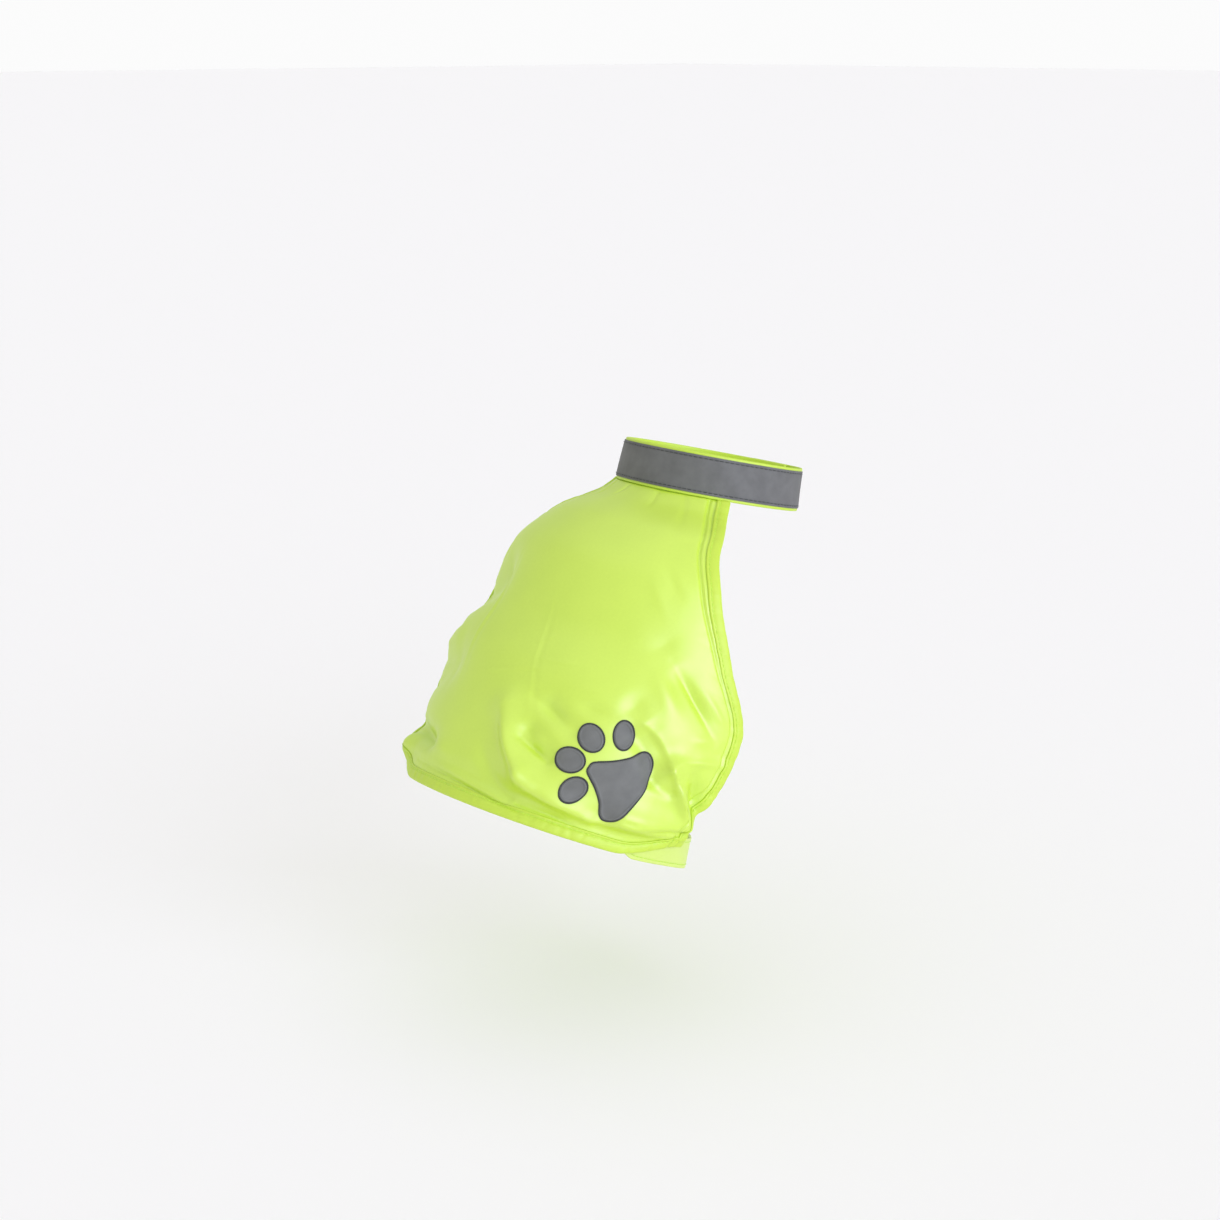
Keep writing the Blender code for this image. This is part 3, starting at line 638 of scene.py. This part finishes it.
def texture(tree, kind, source, **values):
    """A texture over the source's places, its sockets set to the values."""
    node = tree.nodes.new("ShaderNodeTex" + kind)
    tree.links.new(source, node.inputs["Vector"])
    for socket, value in values.items():
        node.inputs[socket].default_value = value
    return node


def wave(tree, source, direction, scale):
    node = texture(tree, "Wave", source, Scale=scale)
    node.bands_direction = direction
    return node.outputs["Fac"]


def math_node(tree, operation, first, second):
    node = tree.nodes.new("ShaderNodeMath")
    node.operation = operation
    for socket, value in zip(node.inputs, (first, second)):
        if isinstance(value, float):
            socket.default_value = value
        else:
            tree.links.new(value, socket)
    return node.outputs[0]


def noise_of(tree, source, size_mm, detail=3.0):
    return texture(tree, "Noise", source, Scale=1.0 / size_mm, Detail=detail).outputs["Fac"]


def coloured(tree, shader, share, low, high, first, second):
    """The base colour goes from the first to the second as the share goes from low to high."""
    ramp = tree.nodes.new("ShaderNodeValToRGB")
    ramp.color_ramp.elements[0].position = low
    ramp.color_ramp.elements[1].position = high
    ramp.color_ramp.elements[0].color = (*first, 1.0)
    ramp.color_ramp.elements[1].color = (*second, 1.0)
    tree.links.new(share, ramp.inputs["Fac"])
    tree.links.new(ramp.outputs["Color"], shader.inputs["Base Color"])


def bumped(tree, shader, height, strength, distance_mm):
    node = tree.nodes.new("ShaderNodeBump")
    node.inputs["Strength"].default_value = strength
    node.inputs["Distance"].default_value = distance_mm * MM
    tree.links.new(height, node.inputs["Height"])
    tree.links.new(node.outputs["Normal"], shader.inputs["Normal"])


def woven(name, light, deep, thread_mm, roughness, relief, ior):
    """Smooth woven fluorescent cloth: fine threads both ways, and uneven dye and thread thickness."""
    material, tree, shader = shader_of(name, light, roughness)
    flat = flat_place(tree)
    warp, weft = (wave(tree, flat, direction, math.pi / (10.0 * thread_mm)) for direction in "XY")
    weave = math_node(tree, "MULTIPLY", warp, weft)
    uneven = noise_of(tree, flat, DYE_CLOUD_MM)
    speckle = noise_of(tree, flat, SPECKLE_MM, 1.0)
    share = math_node(tree, "ADD", math_node(tree, "MULTIPLY", speckle, 0.35),
                      math_node(tree, "MULTIPLY", uneven, 0.65))
    coloured(tree, shader, share, 0.34, 0.66, deep, light)
    height = math_node(tree, "ADD", weave, math_node(tree, "MULTIPLY", speckle, 0.6))
    bumped(tree, shader, height, relief, 0.06)
    shader.inputs["IOR"].default_value = ior
    shader.inputs["Specular IOR Level"].default_value = 1.0
    return material


def reflective(name, light, deep):
    """Grey retroreflective fabric: a dense skin of tiny beads with a satin shine."""
    material, tree, shader = shader_of(name, light, 0.62)
    flat = flat_place(tree)
    beads = texture(tree, "Voronoi", flat, Scale=BEADS_PER_MM)
    cloudy = noise_of(tree, flat, TAPE_CLOUD_MM)
    coloured(tree, shader, cloudy, 0.3, 0.72, deep, light)
    height = math_node(tree, "ADD", beads.outputs["Distance"], math_node(tree, "MULTIPLY", cloudy, 0.8))
    bumped(tree, shader, height, 0.16, 0.08)
    shader.inputs["Specular IOR Level"].default_value = 0.3
    return material


def thread_material(name, colour):
    material, tree, shader = shader_of(name, colour, 0.45)
    place = tree.nodes.new("ShaderNodeTexCoord").outputs["Object"]
    bumped(tree, shader, wave(tree, place, "DIAGONAL", THREAD_TWIST), 0.4, 0.05)
    shader.inputs["Sheen Weight"].default_value = 0.15
    return material


def pile(name):
    """Hook-and-loop pile, matte and brushed."""
    material, tree, shader = shader_of(name, FLUORO_DEEP, 0.9)
    flat = flat_place(tree)
    fuzz = noise_of(tree, flat, PILE_FUZZ_MM, 5.0)
    coloured(tree, shader, fuzz, 0.3, 0.7, PILE_DEEP, PILE_LIGHT)
    bumped(tree, shader, fuzz, 0.9, 0.4)
    shader.inputs["Sheen Weight"].default_value = 0.5
    return material


class Looks:
    """The vest's materials. A weave has its thread in millimetres, its roughness, relief and IOR."""

    def __init__(self):
        self.cloth = woven("fluorescent_cloth_woven", FLUORO, FLUORO_DEEP, 0.7, 0.45, 0.18, CLOTH_IOR)
        self.trim = woven("fluorescent_binding_woven", FLUORO_TRIM, TRIM_DEEP, 0.6, 0.55, 0.25, TRIM_IOR)
        # The belly straps' paler colours are a painted highlight
        self.strap = woven("fluorescent_strap_woven", STRAP_PAINTED_HIGHLIGHT, STRAP_PAINTED_HIGHLIGHT_DEEP, 0.9, 0.45, 0.2, CLOTH_IOR)
        self.tape = reflective("reflective_beads", REFLECTIVE_GREY, REFLECTIVE_DEEP)
        self.patch = reflective("reflective_print", PRINT_GREY, PRINT_DEEP)
        self.pile = pile("hook_and_loop_pile")
        self.thread = thread_material("thread_yellow", THREAD_YELLOW)
        self.dark_thread = thread_material("thread_charcoal", CHARCOAL)


# ---- The panel and its bound edges ----


def back_panel(cloth, looks):
    rows, columns = cloth.points.shape[:2]
    faces = [face[::-1] for face in grid_faces(rows, columns)]
    tuck_mm = np.stack([cloth.flat_mm[0] + (0.0, -up) for _, up in TUCK])
    flat_mm = np.concatenate([tuck_mm, cloth.flat_mm])
    piece = mesh_piece("vest_back_panel", cloth.points, faces, looks.cloth, flat_mm,
                       closed=False)
    wall = piece.modifiers.new("wall", "SOLIDIFY")
    wall.thickness = CLOTH_WALL * MM
    wall.offset = -1.0
    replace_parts(piece, "back_panel")
    return piece


def edge_lines(cloth, edge, inset):
    """Points and normals of the cloth's face from one edge inwards, at insets in millimetres.

    An inset below zero lies outside the cloth, straight on from its edge.
    """
    points, normals = cloth.points, cloth.normals
    if edge == "hem":
        points, normals = (grid[::-1].transpose(1, 0, 2) for grid in (points, normals))
    if edge == "right":
        points, normals = points[:, ::-1], normals[:, ::-1]
    points, normals = points[:, :EDGE_COLUMNS], normals[:, :EDGE_COLUMNS]
    place = np.linspace(0.0, len(points) - 1.001, EDGE_SECTIONS)
    low = place.astype(int)
    part = (place - low)[:, None, None]
    points, normals = (grid[low] * (1.0 - part) + grid[low + 1] * part for grid in (points, normals))
    reach = np.cumsum(np.linalg.norm(np.diff(points, axis=1), axis=-1), axis=1) / MM
    reach = np.concatenate([np.zeros((EDGE_SECTIONS, 1)), reach], axis=1)
    spots, ways = np.empty((2, EDGE_SECTIONS, len(inset), 3))
    for i in range(EDGE_SECTIONS):
        spot = np.interp(inset, reach[i], np.arange(len(reach[i])))
        j = np.minimum(spot.astype(int), len(reach[i]) - 2)
        share = (spot - j)[:, None]
        for kept, grid in ((spots, points), (ways, normals)):
            kept[i] = grid[i, j] * (1.0 - share) + grid[i, j + 1] * share
        spots[i] += unit(points[i, 1] - points[i, 0]) * np.minimum(inset, 0.0)[:, None] * MM
    return spots, unit(ways)


def binding(cloth, looks, edge, node, trim=(0, 0)):
    """A strip folded over one edge of the panel, with its row of stitches on both faces.

    "trim" is how much of the strip's length is left off at its two ends, in sections.
    """
    inset, out = np.array(BINDING_SECTION).T
    kept = slice(trim[0], EDGE_SECTIONS - trim[1])
    spots, ways = (grid[kept] for grid in edge_lines(cloth, edge, inset))
    ripple = 1.0 + RIPPLE * np.sin(np.arange(len(spots)) * 0.9) * np.sin(np.arange(len(spots)) * 0.171)
    heights = out[None, :] * np.where(out > RIPPLED_ABOVE, ripple[:, None], 1.0)
    sections = spots + ways * (heights * MM)[..., None]
    length = run_of(spots[:, 0]) / MM
    around = run_of(np.array(BINDING_SECTION))
    flat_mm = np.stack(together(around[None, :], length[:, None]), axis=-1)
    tube_piece("vest_" + node, node, sections, looks.trim, flat_mm)
    line, way = (grid[kept, 0] for grid in edge_lines(cloth, edge, np.array([STITCH_INSET])))
    for face, out_mm, facing in BINDING_ROWS:
        stitch_row(f"stitches_{node}_{face}", line + way * out_mm * MM, way * facing, looks.thread)


# ---- Collar and straps ----


def climb(wall, ramp_deg, overlap_deg, deg):
    """The extra radius of a strap, whose end past 180 degrees climbs over the other end."""
    first = 180.0 - overlap_deg - ramp_deg
    last = 180.0 - overlap_deg - CLIMB_SPARE_DEG
    return (wall + 2.0 * FASTENER_WALL + 3.0 * LAY_GAP) * smoothstep(first, last, deg)


def strap_section(kind, low, high, seams=()):
    """A soft flat strap's section as (out, up) pairs, up between low and high, its outer face at 0."""
    thick, corner, ditch, points = kind
    ups = np.linspace(low + corner, high - corner, points)
    ups = np.unique(np.concatenate([ups] + [[seam - corner, seam, seam + corner] for seam in seams]))
    sink = sum((np.exp(-(((ups - seam) / corner) ** 2)) for seam in seams), np.zeros(len(ups))) * ditch
    outer = [(-drop, up) for drop, up in zip(sink, ups)]
    inner = [(drop - thick, up) for drop, up in zip(sink[::-1], ups[::-1])]
    turn = np.linspace(0.0, math.pi, 7)[1:-1]
    top = [(-thick / 2 + thick / 2 * math.cos(a), high - corner + corner * math.sin(a)) for a in turn]
    bottom = [(-thick / 2 - thick / 2 * math.cos(a), low + corner - corner * math.sin(a)) for a in turn]
    return outer + top + inner + bottom


def strap(name, place, degrees, outs, section, up_mm, material, node, low=0.0):
    """A strap round the body. "outs" is its outer face's distance at each of the degrees.

    "low" is how much of its width is missing at its lower edge there.
    """
    out, up = np.array(section).T
    missing = np.broadcast_to(low, degrees.shape)[:, None]
    sections = place(degrees[:, None], outs[:, None] + out[None, :], missing + (1.0 - missing) * up[None, :])
    beside = np.where(out < INNER_BELOW, INNER_BESIDE, 0.0)
    around = np.broadcast_to(up * up_mm + beside, sections.shape[:2])
    length = run_of(sections.mean(axis=1)) / MM
    flat_mm = np.stack([np.broadcast_to(length[:, None], around.shape), around], axis=-1)
    tube_piece(name, node, sections, material, flat_mm)


def seam_rows(name, place, degrees, outs, lift, ups, material):
    """The lower and the upper row of stitches on a strap's outer face."""
    for row, up in zip(("lower", "upper"), ups):
        line = place(degrees, outs + lift, up)
        way = unit(place(degrees, outs + lift + 1.0, up) - line)
        stitch_row(f"{name}_{row}", line, way, material)


def fasteners(looks, where, place, overlap_deg, inside, section, up_mm):
    """The loop patch and the hook patch between a strap's overlapping ends."""
    span = overlap_deg - FASTENER_MARGIN_DEG
    degrees = np.linspace(180.0 - span, 180.0 + span, FASTENER_SECTIONS)
    for name, layer in (("loop", 0), ("hook", 1)):
        out = inside + LAY_GAP + layer * (FASTENER_WALL + LAY_GAP) + FASTENER_WALL
        strap(f"vest_{where}_{name}_patch", place, degrees, np.full(len(degrees), out), section, up_mm,
              looks.pile, f"{where}_{name}_patch")


def neck_place(deg, out, up):
    """Points of the collar, which isn't quite even where it is drawn round."""
    deg, out, up = together(deg, out, up)
    angle = np.radians(deg)
    uneven = sum(height * np.sin(turns * angle + phase + slant * up)
                 for turns, phase, slant, height in COLLAR_WAVES)
    return collar_point(deg, out + uneven, up)


def collar(looks):
    low = 2.0 * SEAM_GAP
    high = low + COLLAR_HEIGHT
    reach = 180.0 + COLLAR_OVERLAP_DEG
    degrees = np.linspace(-reach, reach, BAND_SECTIONS)
    outs = climb(COLLAR_WALL, COLLAR_RAMP_DEG, COLLAR_OVERLAP_DEG, degrees)
    seams = (low + BAND_SEAM_INSET, high - BAND_SEAM_INSET)
    section = strap_section(BAND, low - BAND_BELOW, high, seams)
    strap("vest_neck_band", neck_place, degrees, outs, section, 1.0, looks.trim,
          "neck_band")
    degrees = np.linspace(-TAPE_REACH_DEG, TAPE_REACH_DEG, TAPE_SECTIONS)
    outs = np.full(len(degrees), TAPE_OUT)
    seams = (low + TAPE_SEAM_INSET, high - TAPE_SEAM_INSET)
    section = strap_section(TAPE, low + TAPE_MARGIN, high - TAPE_MARGIN, seams)
    strap("vest_neck_tape", neck_place, degrees, outs, section, 1.0, looks.tape,
          "neck_reflective_tape")
    seam_rows("stitches_neck_tape", neck_place, degrees, outs, TAPE_STITCH_LIFT, seams, looks.dark_thread)
    section = strap_section(NECK_FASTENER, low + FASTENER_MARGIN_MM, high - FASTENER_MARGIN_MM)
    fasteners(looks, "neck", neck_place, COLLAR_OVERLAP_DEG, 0.0, section, 1.0)


def belly_straps(cloth, looks):
    inside = -(PANEL_WALL + BINDING_WALL + 3.0 * LAY_GAP)
    reach = 180.0 + BELLY_OVERLAP_DEG
    section = strap_section(BELLY, 0.0, 1.0, STRAP_SEAMS)
    left_end, right_end = cloth.deg[-1, 0] + STRAP_TUCK_DEG, cloth.deg[-1, -1] - STRAP_TUCK_DEG
    for side, sewn_end, degrees in (("right", right_end, np.linspace(right_end, reach, RIGHT_STRAP_SECTIONS)),
                                    ("left", left_end, np.linspace(-reach, left_end, LEFT_STRAP_SECTIONS))):
        outs = inside + climb(STRAP_WALL, BELLY_RAMP_DEG, BELLY_OVERLAP_DEG, degrees)
        low = STRAP_CUT * (1.0 - smoothstep(*STRAP_CUT_DEG, np.abs(degrees - sewn_end)))
        strap(f"vest_belly_strap_{side}", belt_point, degrees, outs, section, STRAP_WIDTH_MM, looks.strap,
              f"belly_strap_{side}", low)
        ups = [low + (1.0 - low) * up for up in STRAP_SEAMS]
        seam_rows(f"stitches_belly_strap_{side}", belt_point, degrees, outs, STRAP_STITCH_LIFT, ups,
                  looks.thread)
    section = strap_section(BELLY_FASTENER, *STRAP_SEAMS)
    fasteners(looks, "belly", belt_point, BELLY_OVERLAP_DEG, inside, section, STRAP_WIDTH_MM)


# ---- The paw print ----

PadCorner = namedtuple("PadCorner", "name x y")
PAD = (
    PadCorner("tip", 0.0, 19.2),
    PadCorner("tip_side", 3.4, 17.9),
    PadCorner("waist", 8.5, 8.7),
    PadCorner("lobe_top", 14.0, 1.0),
    PadCorner("lobe_out", 19.3, -3.9),
    PadCorner("lobe_side", 20.9, -9.0),
    PadCorner("lobe_base", 17.8, -14.7),
    PadCorner("base_side", 11.0, -17.8),
    PadCorner("base", 0.0, -19.6),
)
PAD_TURN_DEG = 7.0
Toe = namedtuple("Toe", "name x y half_width half_length lean")
TOES = (
    Toe("outer_front", 21.4, 14.2, 6.4, 9.0, -40.0),
    Toe("inner_front", 10.3, 29.0, 6.9, 9.5, -14.0),
    Toe("inner_rear", -5.3, 30.4, 7.0, 9.6, 8.0),
    Toe("outer_rear", -16.3, 16.8, 7.3, 8.2, 30.0),
)
PATCH_PITCH = 1.0
PATCH_RINGS = 8
PATCH_THICK = 0.42
PATCH_UNDER = 0.04
PAD_STEPS = 8
TOE_POINTS = 64
# How high the patch stands, at insets from its outline: under the border, then a rim, then its flat middle
PATCH_EDGE = (
    (0.0, 0.1), (0.4, 0.26), (0.8, 0.34), (1.05, 0.42), (1.3, 0.66), (1.6, 0.78), (1.9, 0.66), (2.2, 0.46),
    (2.7, 0.42),
)
# The border's stitches: their ends' places in and out from the outline and over the cloth, and their thread
BORDER_IN = 0.75
BORDER_OUT = 0.2
BORDER_IN_LIFT = 0.3
BORDER_OUT_LIFT = 0.06
BORDER_PITCH = 0.5
BORDER_RADIUS = 0.21
BORDER_RISE = 0.3


def pad_outline():
    """The paw's main pad: PAD and its mirror image, turned, as one smooth closed curve."""
    corners = [(c.x, c.y) for c in PAD] + [(-c.x, c.y) for c in reversed(PAD[1:-1])]
    turn = math.radians(PAD_TURN_DEG)
    corners = [(x * math.cos(turn) - y * math.sin(turn), x * math.sin(turn) + y * math.cos(turn))
               for x, y in corners]
    outline = []
    for i in range(len(corners)):
        p0, p1, p2, p3 = (np.array(corners[(i + k) % len(corners)]) for k in (-1, 0, 1, 2))
        for t in np.arange(PAD_STEPS) / PAD_STEPS:
            bend = (2 * p0 - 5 * p1 + 4 * p2 - p3) * t**2 + (3 * p1 - p0 - 3 * p2 + p3) * t**3
            outline.append(p1 + 0.5 * ((p2 - p0) * t + bend))
    return np.array(outline)


def toe_outline(toe):
    lean = math.radians(toe.lean)
    angle = np.linspace(0.0, 2.0 * math.pi, TOE_POINTS, endpoint=False)
    x, y = toe.half_width * np.sin(angle), toe.half_length * np.cos(angle)
    return np.stack([toe.x + x * math.cos(lean) - y * math.sin(lean),
                     toe.y + x * math.sin(lean) + y * math.cos(lean)], axis=-1)


def print_place(places):
    """Points of the print, in its own millimetres, as places on the body."""
    turn = math.radians(PAW_TURN_DEG)
    x, y = places[..., 0], places[..., 1]
    to_spine = y * math.cos(turn) - x * math.sin(turn)
    to_collar = x * math.cos(turn) + y * math.sin(turn)
    return PAW_AT - to_collar / LENGTH_MM, PAW_DEG - to_spine / PAW_MM_PER_DEG


def even_outline(outline, pitch):
    """The same closed outline with points at even distances, and each point's way out of it."""
    closed = np.concatenate([outline, outline[:1]])
    place = run_of(closed)
    count = int(round(place[-1] / pitch))
    where = np.arange(count) * place[-1] / count
    points = np.stack([np.interp(where, place, closed[:, k]) for k in range(2)], axis=-1)
    ahead = np.roll(points, -1, axis=0) - np.roll(points, 1, axis=0)
    out = unit(np.stack([ahead[:, 1], -ahead[:, 0]], axis=-1))
    centre = points.mean(axis=0)
    if np.sum((points - centre) * out) < 0.0:
        out = -out
    return points, out


def patch(cloth, looks, name, outline):
    """A sewn-on reflective patch with a dense stitched border and a raised rim inside it."""
    outline, way = even_outline(outline, PATCH_PITCH)
    size = len(outline)
    middle = outline.mean(axis=0)
    rings = [outline - way * inset for inset, _ in PATCH_EDGE]
    rings += [middle + (rings[-1] - middle) * share for share in np.linspace(0.9, 0.05, PATCH_RINGS)]
    places = np.array(rings)
    out = np.array([height for _, height in PATCH_EDGE] + [PATCH_THICK] * PATCH_RINGS)
    at, deg = print_place(places)
    point, normal = cloth.on_face(at, deg)
    points = [point + normal * (out * MM)[:, None, None], point + normal * PATCH_UNDER * MM]
    count, half = len(out), len(out) * size
    faces = grid_faces(count, size, wrap=True) + grid_faces(count, size, wrap=True, first=half)
    faces.append(tuple(range(half - size, half)))
    faces.append(tuple(range(2 * half - size, 2 * half)))
    faces += [(j, (j + 1) % size, half + (j + 1) % size, half + j) for j in range(size)]
    piece = mesh_piece("vest_" + name, points, faces, looks.patch, [places, places])
    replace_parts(piece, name)
    line, way = even_outline(outline, BORDER_PITCH)
    lean = np.roll(line, -1, axis=0) - line
    inner_at, inner_deg = print_place(line - way * BORDER_IN)
    outer_at, outer_deg = print_place(line + way * BORDER_OUT + lean * 0.5)
    inner, normal = cloth.on_face(inner_at, inner_deg)
    outer, _ = cloth.on_face(outer_at, outer_deg)
    threads("stitches_" + name, inner + normal * BORDER_IN_LIFT * MM, outer + normal * BORDER_OUT_LIFT * MM,
            normal, BORDER_RADIUS, BORDER_RISE, looks.dark_thread)


def paw_print(cloth, looks):
    patch(cloth, looks, "paw_right_pad", pad_outline())
    for toe in TOES:
        patch(cloth, looks, "paw_right_toe_" + toe.name, toe_outline(toe))


# ---- Studio ----


def direction(turn_deg, rise_deg):
    """The way towards a place round the vest, turned from straight behind it to its right side."""
    turn, rise = math.radians(turn_deg), math.radians(rise_deg)
    return Vector((-math.sin(turn) * math.cos(rise), math.cos(turn) * math.cos(rise), math.sin(rise)))


def studio():
    scene = bpy.context.scene
    scene.view_settings.view_transform = "Standard"
    world = bpy.data.worlds.new("pale_world")
    scene.world = world
    world.use_nodes = True
    tree = world.node_tree
    sky = tree.nodes["Background"]
    sky.inputs["Color"].default_value = (1.0, 1.0, 1.0, 1.0)
    way = tree.nodes.new("ShaderNodeTexCoord").outputs["Generated"]
    parts = tree.nodes.new("ShaderNodeSeparateXYZ")
    band = tree.nodes.new("ShaderNodeMapRange")
    for socket, value in (("From Min", HORIZON_BAND[0]), ("From Max", HORIZON_BAND[1]),
                          ("To Min", HORIZON_STRENGTH), ("To Max", WORLD_STRENGTH)):
        band.inputs[socket].default_value = value
    tree.links.new(way, parts.inputs["Vector"])
    tree.links.new(parts.outputs["Z"], band.inputs["Value"])
    tree.links.new(band.outputs["Result"], sky.inputs["Strength"])
    bpy.ops.mesh.primitive_plane_add(size=FLOOR_SIZE, location=(0.0, 0.0, FLOOR_Z))
    floor = bpy.context.object
    floor.name = "floor"
    material, _, shader = shader_of("pale_floor", FLOOR_COLOUR, 1.0)
    shader.inputs["Specular IOR Level"].default_value = 0.0
    floor.data.materials.append(material)
    for sun in SUNS:
        light = bpy.data.lights.new(sun.name, "SUN")
        light.energy = sun.strength
        light.color = sun.colour
        light.angle = math.radians(sun.spread_deg)
        lamp = bpy.data.objects.new(sun.name, light)
        scene.collection.objects.link(lamp)
        towards = direction(sun.turn_deg, sun.rise_deg)
        lamp.rotation_euler = towards.to_track_quat("Z", "Y").to_euler()


def camera():
    back = direction(VIEW_TURN_DEG, VIEW_RISE_DEG)
    right = (-back).cross(Vector((0.0, 0.0, 1.0))).normalized()
    up = right.cross(-back)
    per_pixel = VIEW_DISTANCE / LENS_PIXELS
    aside = (ORIGIN_PIXEL[0] - PHOTO_SIZE / 2) * per_pixel
    above = (PHOTO_SIZE / 2 - ORIGIN_PIXEL[1]) * per_pixel
    data = bpy.data.cameras.new("photo_camera")
    data.sensor_width = SENSOR_MM
    data.lens = LENS_PIXELS / PHOTO_SIZE * SENSOR_MM
    data.clip_start = 0.01
    item = bpy.data.objects.new("photo_camera", data)
    bpy.context.scene.collection.objects.link(item)
    place = back * VIEW_DISTANCE - right * aside - up * above
    item.matrix_world = Matrix.Translation(place) @ Matrix((right, up, back)).transposed().to_4x4()
    bpy.context.scene.camera = item


def build():
    camera()
    studio()
    looks = Looks()
    cloth = Cloth()
    panel = back_panel(cloth, looks)
    binding(cloth, looks, "left", "armhole_binding_left")
    binding(cloth, looks, "right", "armhole_binding_right")
    binding(cloth, looks, "hem", "hem_binding", HEM_TRIM)
    collar(looks)
    belly_straps(cloth, looks)
    paw_print(cloth, looks)


build()
